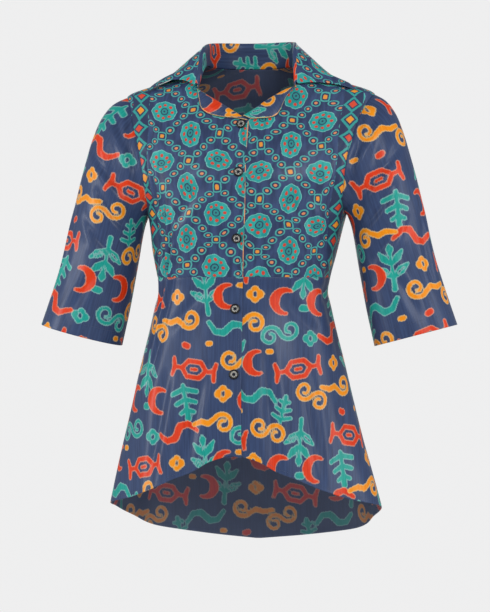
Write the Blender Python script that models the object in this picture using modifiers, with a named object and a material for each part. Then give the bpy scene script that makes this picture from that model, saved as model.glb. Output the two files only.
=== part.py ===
"""A fitted blouse in thin cotton, worn open-necked, with a high front hem and a long back.

It is drawn as it hangs when worn: hollow, +X to the wearer's left, the front facing -Y and
+Z up. The origin lies on the line between the two high shoulder points, midway.
All sizes below are in millimetres and all angles in degrees; MM turns them into metres.
An angle runs round the body: 0 at centre front, 90 at the left side seam, 180 at centre back.
"""
import math
from collections import namedtuple

import bmesh
import bpy
import numpy as np
from mathutils import Vector

MM = 0.001

# Cloth and seams
WALL = 1.3
COLLAR_WALL = 1.5
SEAM_GAP = 0.3
SECTION_POWER = 2.3

# Heights of the seams, from the high shoulder points
SHOULDER_POINT = -49.0
ARMHOLE_DEPTH = 187.0
WAIST_SEAM = -339.0

# Neck opening: a wide neckline, then a straight fold line down to the front edge
NECK_HALF_WIDTH = 70.0
FOLD_TOP_X = 78.0
FOLD_TOP_HEIGHT = -41.0
LAP = 11.0
FOLD_FOOT_HEIGHT = SHOULDER_POINT - ARMHOLE_DEPTH / 4
LAP_MARGIN = 3.0
LAP_STRIP = 20.0
LAP_SLOPE_END = 32.0

# Armholes, scooped out of the fronts more than out of the back
FRONT_SCOOP = 34.0
BACK_SCOOP = 24.0
SCOOP_POWER = 0.8

# Buttons
BUTTON_HEIGHTS = (-101.0, -177.5, -279.0, -388.5, -490.0)
BUTTON_RADIUS = 7.8
BUTTON_THICKNESS = 2.6
BUTTON_SEAT = 0.4
BUTTON_SIDES = 16

# Meshes: how finely each piece is divided
FRONT_COLUMNS = 11
BACK_COLUMNS = 20
SHOULDER_HEIGHTS = (0.0, -10.0, -20.0, -30.5, FOLD_TOP_HEIGHT, SHOULDER_POINT)
ARMHOLE_STEPS = 12
UNDERARM_TO_WAIST = 5
WAIST_TO_HEM = 14
SLEEVE_RINGS = 15
SHARP_ANGLE = 50.0
MERGE_DISTANCE = 0.01

# Short steps along the cloth, for reading its outward direction
ANGLE_STEP = 1.0
HEIGHT_STEP = 2.0

# The body of the blouse, level by level. The sway leans the waist to the wearer's right.
Section = namedtuple("Section", "height half_width front_depth back_depth sway")
SECTIONS = (
    Section(0.0, 70.0, 42.0, 56.0, 5.0),
    Section(-25.0, 136.0, 50.0, 72.0, 5.0),
    Section(-49.0, 199.0, 60.0, 86.0, 4.0),
    Section(-96.0, 203.0, 82.0, 98.0, 0.0),
    Section(-144.0, 194.0, 106.0, 104.0, 0.0),
    Section(-190.0, 180.0, 119.0, 102.0, 0.0),
    Section(-236.0, 159.0, 117.0, 96.0, -1.0),
    Section(-298.0, 147.0, 103.0, 84.0, -5.0),
    Section(-342.0, 137.5, 95.0, 78.0, -7.0),
    Section(-360.0, 135.5, 93.0, 78.0, -8.0),
    Section(-384.0, 140.5, 94.0, 83.0, -8.0),
    Section(-424.0, 149.5, 99.0, 93.0, -8.0),
    Section(-480.0, 163.5, 108.0, 110.0, -8.0),
    Section(-549.0, 179.0, 118.0, 124.0, -7.0),
    Section(-600.0, 191.0, 124.0, 130.0, -6.0),
    Section(-650.0, 203.0, 129.0, 137.0, -4.0),
    Section(-700.0, 214.0, 133.0, 143.0, -2.0),
    Section(-790.0, 230.0, 140.0, 152.0, -1.0),
)

# The hem rises to the centre front and drops to a long back
HemPoint = namedtuple("HemPoint", "angle height")
HEM = (
    HemPoint(0.0, -614.0),
    HemPoint(8.0, -624.0),
    HemPoint(15.0, -639.0),
    HemPoint(23.0, -650.0),
    HemPoint(33.0, -664.0),
    HemPoint(46.0, -677.0),
    HemPoint(60.0, -687.0),
    HemPoint(75.0, -695.0),
    HemPoint(90.0, -704.0),
    HemPoint(115.0, -728.0),
    HemPoint(140.0, -752.0),
    HemPoint(180.0, -772.0),
)

# Flare folds grow from a height down to the hem; a minus depth is a trough
Flare = namedtuple("Flare", "angle top_height width depth")
FLARES = (
    Flare(-140.0, -430.0, 13.0, 9.0),
    Flare(-114.0, -450.0, 11.0, -7.0),
    Flare(-79.0, -470.0, 11.0, 5.0),
    Flare(-54.0, -480.0, 10.0, -5.0),
    Flare(-27.0, -500.0, 10.0, 3.0),
    Flare(24.0, -500.0, 10.0, 3.0),
    Flare(50.0, -470.0, 10.0, -6.0),
    Flare(76.0, -450.0, 11.0, 6.0),
    Flare(110.0, -460.0, 12.0, -8.0),
    Flare(138.0, -430.0, 13.0, 8.0),
    Flare(164.0, -450.0, 11.0, -7.0),
    Flare(-166.0, -470.0, 11.0, -6.0),
)
FLARE_GROWTH = 1.5

# Long soft folds that fade at both ends
Fold = namedtuple("Fold", "top_angle top_height foot_angle foot_height width depth")
FOLDS = (
    Fold(-52.0, -170.0, -60.0, -345.0, 9.0, -3.0),
    Fold(-66.0, -250.0, -58.0, -470.0, 9.0, 2.5),
    Fold(56.0, -190.0, 66.0, -350.0, 9.0, -2.5),
    Fold(70.0, -270.0, 62.0, -450.0, 9.0, 2.5),
    Fold(-150.0, -180.0, -158.0, -420.0, 12.0, -4.0),
    Fold(150.0, -170.0, 160.0, -410.0, 12.0, -4.0),
    Fold(128.0, -230.0, 120.0, -430.0, 10.0, 3.0),
    Fold(-126.0, -240.0, -122.0, -440.0, 10.0, 3.0),
)

# The sleeve, ring by ring from the armhole to the cuff, as it shows from the front
Ring = namedtuple("Ring", "outer_x outer_height inner_x inner_height half_depth centre_y")
SLEEVE = (
    Ring(203.0, -49.0, 158.0, -236.0, 55.0, -8.0),
    Ring(220.0, -59.0, 160.0, -239.0, 58.0, -8.0),
    Ring(236.0, -80.0, 162.0, -244.0, 59.0, -8.0),
    Ring(249.0, -112.0, 165.0, -252.0, 58.0, -8.0),
    Ring(259.0, -146.0, 168.0, -263.0, 57.0, -8.0),
    Ring(269.0, -182.0, 171.0, -278.0, 56.0, -8.0),
    Ring(284.0, -245.0, 176.0, -308.0, 55.0, -8.0),
    Ring(297.0, -302.0, 182.0, -342.0, 55.0, -9.0),
    Ring(314.0, -357.0, 190.5, -388.0, 57.5, -10.0),
    Ring(333.0, -413.0, 203.5, -447.0, 61.0, -11.0),
)
BLEND_RINGS = 4.0

# Sleeve folds lie along the arm; round is 0 on top, 0.5 at the front, 1 under the arm,
# 1.5 at the back
SleeveFold = namedtuple("SleeveFold", "round_top round_foot ring_top ring_foot width depth")
SLEEVE_FOLDS = (
    SleeveFold(0.30, 0.62, 0.5, 4.5, 0.10, -4.0),
    SleeveFold(0.52, 0.80, 2.0, 7.5, 0.10, 3.5),
    SleeveFold(0.20, 0.42, 4.0, 9.0, 0.10, -3.0),
    SleeveFold(1.66, 1.40, 1.0, 6.0, 0.11, -4.0),
    SleeveFold(1.40, 1.22, 4.0, 9.0, 0.11, 3.0),
)

# The collar from its front end round to the centre back, for one side.
# The stand rises from the neckline to the roll; the leaf falls from the roll to its edge.
Station = namedtuple(
    "Station", "stand forward lean edge_angle edge_height edge_lift right_bulge left_bulge"
)
COLLAR = (
    Station(8.0, 1.0, 0.0, 51.0, -46.0, 4.0, 13.0, 5.0),
    Station(14.0, 0.7, 0.0, 58.0, -37.0, 4.0, 9.0, 5.0),
    Station(21.0, 0.4, 0.0, 65.0, -30.0, 3.5, 6.0, 4.5),
    Station(28.0, 0.2, 0.0, 74.0, -24.0, 3.0, 4.0, 4.0),
    Station(33.0, 0.0, 0.0, 90.0, -18.0, 3.0, 3.0, 3.0),
    Station(37.0, 0.0, 1.0, 108.0, -15.0, 3.0, 3.0, 3.0),
    Station(39.0, 0.0, 2.0, 126.0, -13.0, 3.0, 3.0, 3.0),
    Station(40.0, 0.0, 3.0, 144.0, -11.0, 3.0, 3.0, 3.0),
    Station(40.0, 0.0, 4.0, 162.0, -10.0, 3.0, 3.0, 3.0),
    Station(40.0, 0.0, 4.0, 180.0, -10.0, 3.0, 3.0, 3.0),
)
LEFT_TIP_SPREAD = (6.0, 4.0, 2.0, 1.0)
ROLL_RADIUS = 2.4
ROLL_TURNS = (0.0, 60.0, 120.0, 180.0)
STAND_CLEARANCE = 0.9
LEAF_STEPS = 6

# The turned-out facings: their fold and free edges, from the neck to the front edge
Turning = namedtuple("Turning", "along fold_x fold_height free_x free_height")
RIGHT_LAPEL = (
    Turning(0.0, -78.0, -42.0, -77.0, -43.5),
    Turning(0.15, -65.0, -50.0, -72.5, -58.0),
    Turning(0.32, -50.0, -58.5, -66.0, -74.0),
    Turning(0.50, -34.5, -67.5, -52.0, -84.0),
    Turning(0.68, -18.5, -77.0, -34.0, -89.0),
    Turning(0.86, -3.0, -86.5, -12.0, -91.5),
    Turning(1.0, 9.0, -94.0, 8.0, -95.2),
)
LEFT_LAPEL = (
    Turning(0.0, 79.0, -40.0, 74.0, -44.5),
    Turning(0.18, 65.0, -44.0, 64.0, -60.0),
    Turning(0.36, 50.0, -52.5, 58.5, -80.0),
    Turning(0.46, 42.5, -57.5, 54.0, -87.5),
    Turning(0.60, 32.0, -65.0, 44.0, -91.5),
    Turning(0.80, 17.0, -76.5, 29.0, -92.5),
    Turning(1.0, 1.5, -86.6, 14.5, -92.5),
)
LAPEL_LIFT = 2.2
LAPEL_ROLL = 3.5
LAPEL_STEPS = 14
LAPEL_WIDTH_STEPS = 4

Finish = namedtuple("Finish", "colour roughness")
MEDALLION_CLOTH = Finish((0.05, 0.16, 0.20), 0.6)
SCROLL_CLOTH = Finish((0.06, 0.08, 0.15), 0.6)
BUTTON_PLASTIC = Finish((0.02, 0.02, 0.022), 0.25)

# A button's section from the middle of its face round to its back, as shares of its
# radius and thickness: a sunk middle, a raised rim and a rounded side
TurnedPoint = namedtuple("TurnedPoint", "out up")
BUTTON_SECTION = (
    TurnedPoint(0.0, 0.65),
    TurnedPoint(0.55, 0.65),
    TurnedPoint(0.72, 1.0),
    TurnedPoint(0.90, 1.0),
    TurnedPoint(1.0, 0.55),
    TurnedPoint(0.80, 0.0),
    TurnedPoint(0.0, 0.0),
)


def smooth(places, values, place):
    """A monotone cubic curve through a table's points, read at one place."""
    places = np.asarray(places, float)
    values = np.asarray(values, float)
    spans = np.diff(places)
    slopes = np.diff(values) / spans
    tangents = np.zeros(len(places))
    tangents[0] = slopes[0]
    tangents[-1] = slopes[-1]
    for i in range(1, len(places) - 1):
        if slopes[i - 1] * slopes[i] > 0:
            before = 2 * spans[i] + spans[i - 1]
            after = spans[i] + 2 * spans[i - 1]
            tangents[i] = (before + after) / (before / slopes[i - 1] + after / slopes[i])
    place = min(max(place, places[0]), places[-1])
    i = min(int(np.searchsorted(places, place, side="right")) - 1, len(spans) - 1)
    part = (place - places[i]) / spans[i]
    rise = part * part * (3 - 2 * part)
    start_bend = part * (1 - part) ** 2 * spans[i] * tangents[i]
    end_bend = part * part * (part - 1) * spans[i] * tangents[i + 1]
    return values[i] * (1 - rise) + values[i + 1] * rise + start_bend + end_bend


def read_column(table, key, name, place):
    """One named column of a table, read at a place in its key column."""
    rows = sorted(table, key=lambda row: getattr(row, key))
    places = [getattr(row, key) for row in rows]
    return smooth(places, [getattr(row, name) for row in rows], place)


def section_at(height):
    values = [read_column(SECTIONS, "height", name, height) for name in Section._fields[1:]]
    return Section(height, *values)


def bow(value):
    """Flattens a sine or cosine, so that a section is a superellipse."""
    return math.copysign(abs(value) ** (2 / SECTION_POWER), value)


def bell(distance, width):
    return math.exp(-((distance / width) ** 2))


def turn_between(angle, other):
    """The short way round from one angle to another."""
    return (angle - other + 180) % 360 - 180


def hem_height(angle):
    return read_column(HEM, "angle", "height", abs(turn_between(angle, 0)))


def fold_depth(angle, height):
    """How far the large folds push the cloth out at a place."""
    total = 0.0
    for flare in FLARES:
        if height < flare.top_height:
            grown = (flare.top_height - height) / (flare.top_height - hem_height(flare.angle))
            aside = bell(turn_between(angle, flare.angle), flare.width)
            total += flare.depth * grown ** FLARE_GROWTH * aside
    for fold in FOLDS:
        part = (fold.top_height - height) / (fold.top_height - fold.foot_height)
        if 0 < part < 1:
            middle = fold.top_angle + part * (fold.foot_angle - fold.top_angle)
            strength = math.sin(math.pi * part) ** 2
            total += fold.depth * strength * bell(turn_between(angle, middle), fold.width)
    return total


def skin(angle, height):
    """A point of the outside of the cloth, in millimetres."""
    level = section_at(height)
    across = bow(math.sin(math.radians(angle)))
    ahead = bow(math.cos(math.radians(angle)))
    depth = level.front_depth if ahead > 0 else level.back_depth
    push = fold_depth(angle, height)
    x = level.sway + (level.half_width + push) * across
    y = -(depth + push) * ahead
    return np.array((x, y, height))


def skin_normal(angle, height):
    """The outward direction of the cloth at a place."""
    round_step = skin(angle + ANGLE_STEP, height) - skin(angle - ANGLE_STEP, height)
    down_step = skin(angle, height - HEIGHT_STEP) - skin(angle, height + HEIGHT_STEP)
    return unit(np.cross(down_step, round_step))


def unit(vector):
    return vector / max(np.linalg.norm(vector), 1e-9)


def angle_at(x, height):
    """The angle of a front point that lies at x on a level."""
    level = section_at(height)
    part = (x - level.sway) / level.half_width
    part = min(max(part, -1.0), 1.0)
    return math.copysign(math.degrees(math.asin(abs(part) ** (SECTION_POWER / 2))), part)


def opening_angle(side, height):
    """Where a front ends at the neckline, the fold line or the lapped front edge."""
    sway = section_at(height).sway
    if height >= FOLD_TOP_HEIGHT:
        part = height / FOLD_TOP_HEIGHT
        out = NECK_HALF_WIDTH + (FOLD_TOP_X - NECK_HALF_WIDTH) * part
        return angle_at(sway + side * out, height)
    part = (FOLD_TOP_HEIGHT - height) / (FOLD_TOP_HEIGHT - FOLD_FOOT_HEIGHT)
    out = FOLD_TOP_X - (FOLD_TOP_X + LAP) * min(part, 1.0)
    return angle_at(sway + side * out, height)


def armhole_place(side, step, front):
    """Angle and height of a point of the armhole, from the shoulder point to the underarm."""
    turn = math.pi * step / ARMHOLE_STEPS
    scoop = FRONT_SCOOP if front else -BACK_SCOOP
    angle = 90.0 - scoop * math.sin(turn) ** SCOOP_POWER
    return side * angle, SHOULDER_POINT - ARMHOLE_DEPTH * (1 - math.cos(turn)) / 2


def side_rows(side, front):
    """Angle and height of each row where a front or the back meets its neighbours."""
    rows = [(side * 90.0, height) for height in SHOULDER_HEIGHTS]
    for step in range(1, ARMHOLE_STEPS + 1):
        rows.append(armhole_place(side, step, front))
    underarm = SHOULDER_POINT - ARMHOLE_DEPTH
    for height in np.linspace(underarm, WAIST_SEAM, UNDERARM_TO_WAIST + 1)[1:]:
        rows.append((side * 90.0, float(height)))
    return rows


def sleeve_outline(side, ring, turn):
    """A point of the sleeve's plain form. The turn is 0 on top and pi under the arm."""
    place = range(len(SLEEVE))
    values = [smooth(place, [getattr(row, name) for row in SLEEVE], ring) for name in Ring._fields]
    level = Ring(*values)
    outer = np.array((level.outer_x, 0.0, level.outer_height))
    inner = np.array((level.inner_x, 0.0, level.inner_height))
    point = (outer + inner) / 2 + (outer - inner) / 2 * math.cos(turn)
    point[1] = level.centre_y - level.half_depth * math.sin(turn)
    push = 0.0
    for fold in SLEEVE_FOLDS:
        part = (ring - fold.ring_top) / (fold.ring_foot - fold.ring_top)
        if 0 < part < 1:
            middle = fold.round_top + part * (fold.round_foot - fold.round_top)
            away = (turn / math.pi - middle + 1) % 2 - 1
            push += fold.depth * math.sin(math.pi * part) ** 2 * bell(away, fold.width)
    point += push * unit(point - (outer + inner) / 2)
    point[0] *= side
    return point


def armhole_points(side):
    """Places on the skin all round an armhole: down the front and up the back."""
    places = [armhole_place(side, step, True) for step in range(ARMHOLE_STEPS + 1)]
    back = [armhole_place(side, step, False) for step in range(ARMHOLE_STEPS - 1, 0, -1)]
    return places + back


def sleeve_grid(side):
    """Rings of the sleeve, the first one on the armhole itself."""
    places = armhole_points(side)
    count = len(places)
    rows = []
    for ring in np.linspace(0, len(SLEEVE) - 1, SLEEVE_RINGS + 1):
        blend = max(1 - ring / BLEND_RINGS, 0.0) ** 2
        row = []
        for k, place in enumerate(places):
            turn = 2 * math.pi * k / count
            offset = skin(*place) - sleeve_outline(side, 0, turn)
            row.append(sleeve_outline(side, ring, turn) + blend * offset)
        rows.append(row)
    return np.array(rows)


def grid_normals(grid, closed=False, flip=False):
    """Outward directions at the points of a grid, from its neighbours."""
    down = np.gradient(grid, axis=0)
    if closed:
        along = np.roll(grid, -1, axis=1) - np.roll(grid, 1, axis=1)
    else:
        along = np.gradient(grid, axis=1)
    normals = np.cross(down, along)
    lengths = np.linalg.norm(normals, axis=2, keepdims=True)
    normals = normals / np.maximum(lengths, 1e-9)
    return -normals if flip else normals


def armhole_mitres(side):
    """Shared direction at each armhole point, halfway between the body's and the sleeve's."""
    sleeve = grid_normals(sleeve_grid(side), closed=True, flip=side > 0)[0]
    body = np.array([skin_normal(*place) for place in armhole_points(side)])
    return np.array([unit(a + b) for a, b in zip(sleeve, body)])


def part_seam(line, normals, inner_line):
    """Moves a seam's points half the gap into their own piece, square to the seam."""
    along = np.gradient(line, axis=0)
    moved = []
    for point, step, normal, inner in zip(line, along, normals, inner_line):
        away = unit(np.cross(normal, step))
        if np.dot(away, inner - point) < 0:
            away = -away
        moved.append(point + away * SEAM_GAP / 2)
    return np.array(moved)


def add_object(name, vertices, faces, finish):
    """A mesh object in the blouse's collection, its points given in millimetres."""
    mesh = bpy.data.meshes.new(name)
    work = bmesh.new()
    points = [work.verts.new(Vector(vertex) * MM) for vertex in vertices]
    for face in faces:
        work.faces.new([points[i] for i in face])
    bmesh.ops.remove_doubles(work, verts=work.verts, dist=MERGE_DISTANCE * MM)
    bmesh.ops.recalc_face_normals(work, faces=work.faces)
    work.to_mesh(mesh)
    work.free()
    mesh.shade_smooth()
    mesh.set_sharp_from_angle(angle=math.radians(SHARP_ANGLE))
    mesh.materials.append(material(name, finish))
    piece = bpy.data.objects.new(name, mesh)
    bpy.data.collections["Blouse"].objects.link(piece)
    return piece


def material(name, finish):
    made = bpy.data.materials.new(name)
    made.use_nodes = True
    shader = made.node_tree.nodes["Principled BSDF"]
    shader.inputs["Base Color"].default_value = (*finish.colour, 1.0)
    shader.inputs["Roughness"].default_value = finish.roughness
    shader.inputs["Metallic"].default_value = 0.0
    return made


def cloth_wall(name, outer, normals, finish, wall=WALL, closed=False):
    """A closed wall of cloth under a grid of outer points."""
    rows, columns = outer.shape[:2]
    inner = outer - normals * wall
    vertices = list(outer.reshape(-1, 3)) + list(inner.reshape(-1, 3))
    under = rows * columns
    faces = []
    spans = columns if closed else columns - 1
    for i in range(rows - 1):
        for j in range(spans):
            k = (j + 1) % columns
            face = (i * columns + j, (i + 1) * columns + j, (i + 1) * columns + k, i * columns + k)
            faces.append(face)
            faces.append([under + index for index in reversed(face)])
    for j in range(spans):
        k = (j + 1) % columns
        last = (rows - 1) * columns
        faces.append((j, k, under + k, under + j))
        faces.append((last + k, last + j, under + last + j, under + last + k))
    if not closed:
        for i in range(rows - 1):
            start = i * columns
            end = start + columns - 1
            below = columns
            faces.append((start + below, start, under + start, under + start + below))
            faces.append((end, end + below, under + end + below, under + end))
    return add_object(name, vertices, faces, finish)


def lap_drop(side, x):
    """How far the left front's edge sinks to pass under the right front."""
    if side < 0:
        return 0.0
    part = min(max((LAP_SLOPE_END - x) / (LAP_SLOPE_END - LAP - LAP_MARGIN), 0.0), 1.0)
    return (WALL + SEAM_GAP) * part * part * (3 - 2 * part)


def front_point(side, angle, height):
    """A point of one front and its outward direction, with the lap let in."""
    normal = skin_normal(angle, height)
    point = skin(angle, height)
    sway = section_at(height).sway
    return point - normal * lap_drop(side, point[0] - sway), normal


def front_angles(side, height, side_angle):
    """Where a front's columns cross a level. The second one bounds the strip that laps."""
    edge = opening_angle(side, height)
    level = section_at(height)
    edge_x = side * (skin(edge, height)[0] - level.sway)
    strip_x = max(LAP + LAP_MARGIN, edge_x + LAP_STRIP)
    strip = angle_at(level.sway + side * strip_x, height)
    return np.concatenate([[edge], np.linspace(strip, side_angle, FRONT_COLUMNS)])


def front_upper(side, name):
    seam = side_rows(side, True)
    grid = []
    normals = []
    for place_angle, height in seam:
        angles = front_angles(side, height, place_angle)
        row = [front_point(side, angle, height) for angle in angles]
        grid.append([point for point, normal in row])
        normals.append([normal for point, normal in row])
    grid = np.array(grid)
    normals = np.array(normals)
    first_armhole = len(SHOULDER_HEIGHTS) - 1
    mitres = armhole_mitres(side)[: ARMHOLE_STEPS + 1]
    normals[first_armhole : first_armhole + ARMHOLE_STEPS + 1, -1] = mitres
    normals[0] = normals[0, -1]
    side_line = part_seam(grid[:, -1], normals[:, -1], grid[:, -2])
    side_line[0] = grid[0, -1] + np.array((0.0, -SEAM_GAP / 2, 0.0))
    waist_line = part_seam(grid[-1], normals[-1], grid[-2])
    corner = grid[-1, -1]
    grid[:, -1] = side_line
    grid[-1, :-1] = waist_line[:-1]
    grid[-1, -1] += waist_line[-1] - corner
    grid[0] = side_line[0]
    return cloth_wall(name, grid, normals, MEDALLION_CLOTH)


def front_lower(side, name):
    grid = []
    normals = []
    waist_angles = front_angles(side, WAIST_SEAM, side * 90.0)
    for fall in np.linspace(0, 1, WAIST_TO_HEM + 1):
        row = []
        for column, waist_angle in enumerate(waist_angles):
            height = WAIST_SEAM + (hem_height(waist_angle) - WAIST_SEAM) * fall
            angle = front_angles(side, height, side * 90.0)[column]
            row.append(front_point(side, angle, height))
        grid.append([point for point, normal in row])
        normals.append([normal for point, normal in row])
    grid = np.array(grid)
    normals = np.array(normals)
    side_line = part_seam(grid[:, -1], normals[:, -1], grid[:, -2])
    waist_line = part_seam(grid[0], normals[0], grid[1])
    corner = grid[0, -1].copy()
    grid[:, -1] = side_line
    grid[0, :-1] = waist_line[:-1]
    grid[0, -1] += waist_line[-1] - corner
    return cloth_wall(name, grid, normals, SCROLL_CLOTH)


def back():
    left = side_rows(1, False)
    right = side_rows(-1, False)
    grid = []
    normals = []
    for (left_angle, height), (right_angle, _) in zip(left, right):
        angles = np.linspace(left_angle, right_angle + 360, BACK_COLUMNS + 1)
        grid.append([skin(angle, height) for angle in angles])
        normals.append([skin_normal(angle, height) for angle in angles])
    for fall in np.linspace(0, 1, WAIST_TO_HEM + 1)[1:]:
        angles = np.linspace(90.0, 270.0, BACK_COLUMNS + 1)
        heights = [WAIST_SEAM + (hem_height(angle) - WAIST_SEAM) * fall for angle in angles]
        grid.append([skin(angle, height) for angle, height in zip(angles, heights)])
        normals.append([skin_normal(angle, height) for angle, height in zip(angles, heights)])
    grid = np.array(grid)
    normals = np.array(normals)
    first = len(SHOULDER_HEIGHTS) - 1
    for side, column in ((1, 0), (-1, -1)):
        mitres = armhole_mitres(side)
        order = [0] + list(range(len(mitres) - 1, ARMHOLE_STEPS - 1, -1))
        normals[first : first + ARMHOLE_STEPS + 1, column] = mitres[order]
        beside = 1 if column == 0 else -2
        grid[:, column] = part_seam(grid[:, column], normals[:, column], grid[:, beside])
    return cloth_wall("back", grid, normals, SCROLL_CLOTH)


def sleeve(side, name):
    grid = sleeve_grid(side)
    normals = grid_normals(grid, closed=True, flip=side > 0)
    normals[0] = armhole_mitres(side)
    ring = np.concatenate([grid[0][-1:], grid[0], grid[0][:1]])
    ring_normals = np.concatenate([normals[0][-1:], normals[0], normals[0][:1]])
    next_ring = np.concatenate([grid[1][-1:], grid[1], grid[1][:1]])
    grid[0] = part_seam(ring, ring_normals, next_ring)[1:-1]
    return cloth_wall(name, grid, normals, SCROLL_CLOTH, closed=True)


def collar_stations(side):
    """Neckline place and shape row of each station of one side, from the front end."""
    places = []
    for height in reversed(SHOULDER_HEIGHTS[:-1]):
        places.append((opening_angle(side, height), height))
    back_angles = np.linspace(90.0, 180.0, len(COLLAR) - len(places) + 1)[1:]
    places += [(side * float(angle), 0.0) for angle in back_angles]
    return list(zip(places, COLLAR))


def collar_profile(side, index, place, along, station):
    """The collar's shown face at one station: up the stand, over the roll, down the leaf."""
    neck = skin(*place)
    up = np.array((0.0, 0.0, 1.0))
    rise = unit(up + skin_normal(*place) * station.forward)
    inward = unit(np.cross(rise, along))
    if np.dot(inward[:2], neck[:2]) > 0:
        inward = -inward
    foot = neck + rise * STAND_CLEARANCE + inward * COLLAR_WALL
    roll = neck + rise * station.stand + inward * (station.lean + COLLAR_WALL)
    spread = LEFT_TIP_SPREAD[index] if side > 0 and index < len(LEFT_TIP_SPREAD) else 0.0
    edge_place = (side * (station.edge_angle + spread), station.edge_height)
    edge = skin(*edge_place) + skin_normal(*edge_place) * (station.edge_lift + COLLAR_WALL)
    points = [foot, (foot + roll) / 2]
    for turn in np.radians(ROLL_TURNS):
        across = inward * (math.cos(turn) - 1)
        points.append(roll + (across + rise * math.sin(turn)) * ROLL_RADIUS)
    start = points[-1]
    bulge = station.left_bulge if side > 0 else station.right_bulge
    top = (start + edge) / 2 + up * 2 * bulge
    for part in np.linspace(0, 1, LEAF_STEPS + 1)[1:]:
        bend = 2 * part * (1 - part)
        points.append(start * (1 - part) ** 2 + top * bend + edge * part ** 2)
    return points


def collar_side(side):
    """The profiles of one half of the collar, from its front end to the centre back."""
    stations = collar_stations(side)
    necks = np.array([skin(*place) for place, station in stations])
    alongs = np.gradient(necks, axis=0)
    alongs[-1] = (side * -1.0, 0.0, 0.0)
    return [
        collar_profile(side, i, place, alongs[i], station)
        for i, (place, station) in enumerate(stations)
    ]


def collar():
    grid = np.array(collar_side(-1) + collar_side(1)[-2::-1])
    return cloth_wall("collar", grid, grid_normals(grid), MEDALLION_CLOTH, wall=COLLAR_WALL)


def lapel(side, name, table):
    """A facing turned out over its front, from the fold line to its free edge."""
    grid = []
    for along in np.linspace(0, 1, LAPEL_STEPS + 1):
        fold_x, fold_height, free_x, free_height = [
            read_column(table, "along", column, along) for column in Turning._fields[1:]
        ]
        fold = np.array((fold_x, fold_height))
        free = np.array((free_x, free_height))
        row = []
        for across in np.linspace(0, 1, LAPEL_WIDTH_STEPS + 1):
            x, height = fold + (free - fold) * across
            sway = section_at(height).sway
            point, normal = front_point(side, angle_at(sway + x, height), height)
            roll = math.sin(math.pi * across) * math.sin(math.pi * along)
            row.append(point + normal * (WALL + LAPEL_LIFT + LAPEL_ROLL * roll))
        grid.append(row)
    grid = np.array(grid)
    normals = grid_normals(grid)
    if np.mean(normals[:, :, 1]) > 0:
        normals = -normals
    return cloth_wall(name, grid, normals, SCROLL_CLOTH)


def strip_centre(height):
    """The middle of the lapping strip on one level, from the strip's own two columns."""
    edge_angle, strip_angle = front_angles(-1, height, -90.0)[:2]
    edge = front_point(-1, edge_angle, height)[0]
    strip = front_point(-1, strip_angle, height)[0]
    return edge + (strip - edge) * LAP / (2 * LAP + LAP_MARGIN)


def strip_point(height):
    """A point on the right front's own facets, along its lapping strip."""
    rows = [row_height for angle, row_height in side_rows(-1, True)]
    lower_end = hem_height(opening_angle(-1, hem_height(0)))
    rows += list(np.linspace(WAIST_SEAM, lower_end, WAIST_TO_HEM + 1)[1:])
    below = next(i for i, row_height in enumerate(rows) if row_height <= height)
    part = (rows[below - 1] - height) / (rows[below - 1] - rows[below])
    return strip_centre(rows[below - 1]) * (1 - part) + strip_centre(rows[below]) * part


def button(number, height):
    """A turned button with a raised rim and a sunk middle, on the right front."""
    sway = section_at(height).sway
    normal = Vector(skin_normal(angle_at(sway, height), height))
    name = f"button_{number}"
    mesh = bpy.data.meshes.new(name)
    points = [
        (place.out * BUTTON_RADIUS * MM, 0.0, place.up * BUTTON_THICKNESS * MM)
        for place in BUTTON_SECTION
    ]
    edges = [(i, i + 1) for i in range(len(points) - 1)]
    mesh.from_pydata(points, edges, [])
    mesh.materials.append(material(name, BUTTON_PLASTIC))
    piece = bpy.data.objects.new(name, mesh)
    turned = piece.modifiers.new("Turned", "SCREW")
    turned.steps = BUTTON_SIDES
    turned.render_steps = BUTTON_SIDES
    turned.use_merge_vertices = True
    turned.merge_threshold = MERGE_DISTANCE * MM
    piece.location = (Vector(strip_point(height)) + normal * BUTTON_SEAT) * MM
    piece.rotation_euler = normal.to_track_quat("Z", "Y").to_euler()
    bpy.data.collections["Blouse"].objects.link(piece)
    return piece


def main():
    for old in list(bpy.data.objects):
        bpy.data.objects.remove(old)
    collection = bpy.data.collections.new("Blouse")
    bpy.context.scene.collection.children.link(collection)
    for side, label in ((-1, "right"), (1, "left")):
        front_upper(side, f"front_{label}_upper")
        front_lower(side, f"front_{label}_lower")
        sleeve(side, f"sleeve_{label}")
    back()
    collar()
    lapel(-1, "lapel_right", RIGHT_LAPEL)
    lapel(1, "lapel_left", LEFT_LAPEL)
    for number, height in enumerate(BUTTON_HEIGHTS, start=1):
        button(number, height)


main()
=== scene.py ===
import math

import bmesh
import bpy
import numpy as np
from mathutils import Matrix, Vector


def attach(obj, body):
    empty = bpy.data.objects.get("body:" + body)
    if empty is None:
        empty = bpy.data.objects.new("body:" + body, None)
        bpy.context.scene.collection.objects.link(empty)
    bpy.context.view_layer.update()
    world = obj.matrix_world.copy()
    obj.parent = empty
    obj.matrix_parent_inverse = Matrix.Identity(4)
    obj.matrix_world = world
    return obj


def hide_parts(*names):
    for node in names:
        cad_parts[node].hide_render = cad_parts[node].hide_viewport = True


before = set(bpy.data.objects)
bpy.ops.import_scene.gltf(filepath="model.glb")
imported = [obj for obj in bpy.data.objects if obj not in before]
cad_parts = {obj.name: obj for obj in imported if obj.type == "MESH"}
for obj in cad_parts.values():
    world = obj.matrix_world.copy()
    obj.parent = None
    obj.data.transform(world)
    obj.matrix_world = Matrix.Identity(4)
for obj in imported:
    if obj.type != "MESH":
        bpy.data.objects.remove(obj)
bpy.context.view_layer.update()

# The room. A pale floor fades into a plain pale backdrop, and the camera stands level with the
# waist, a little to the blouse's own left of straight ahead. Tall soft boxes stand at both
# sides and wider ones in front and behind, as in a clothing studio.
scene = bpy.context.scene
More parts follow.
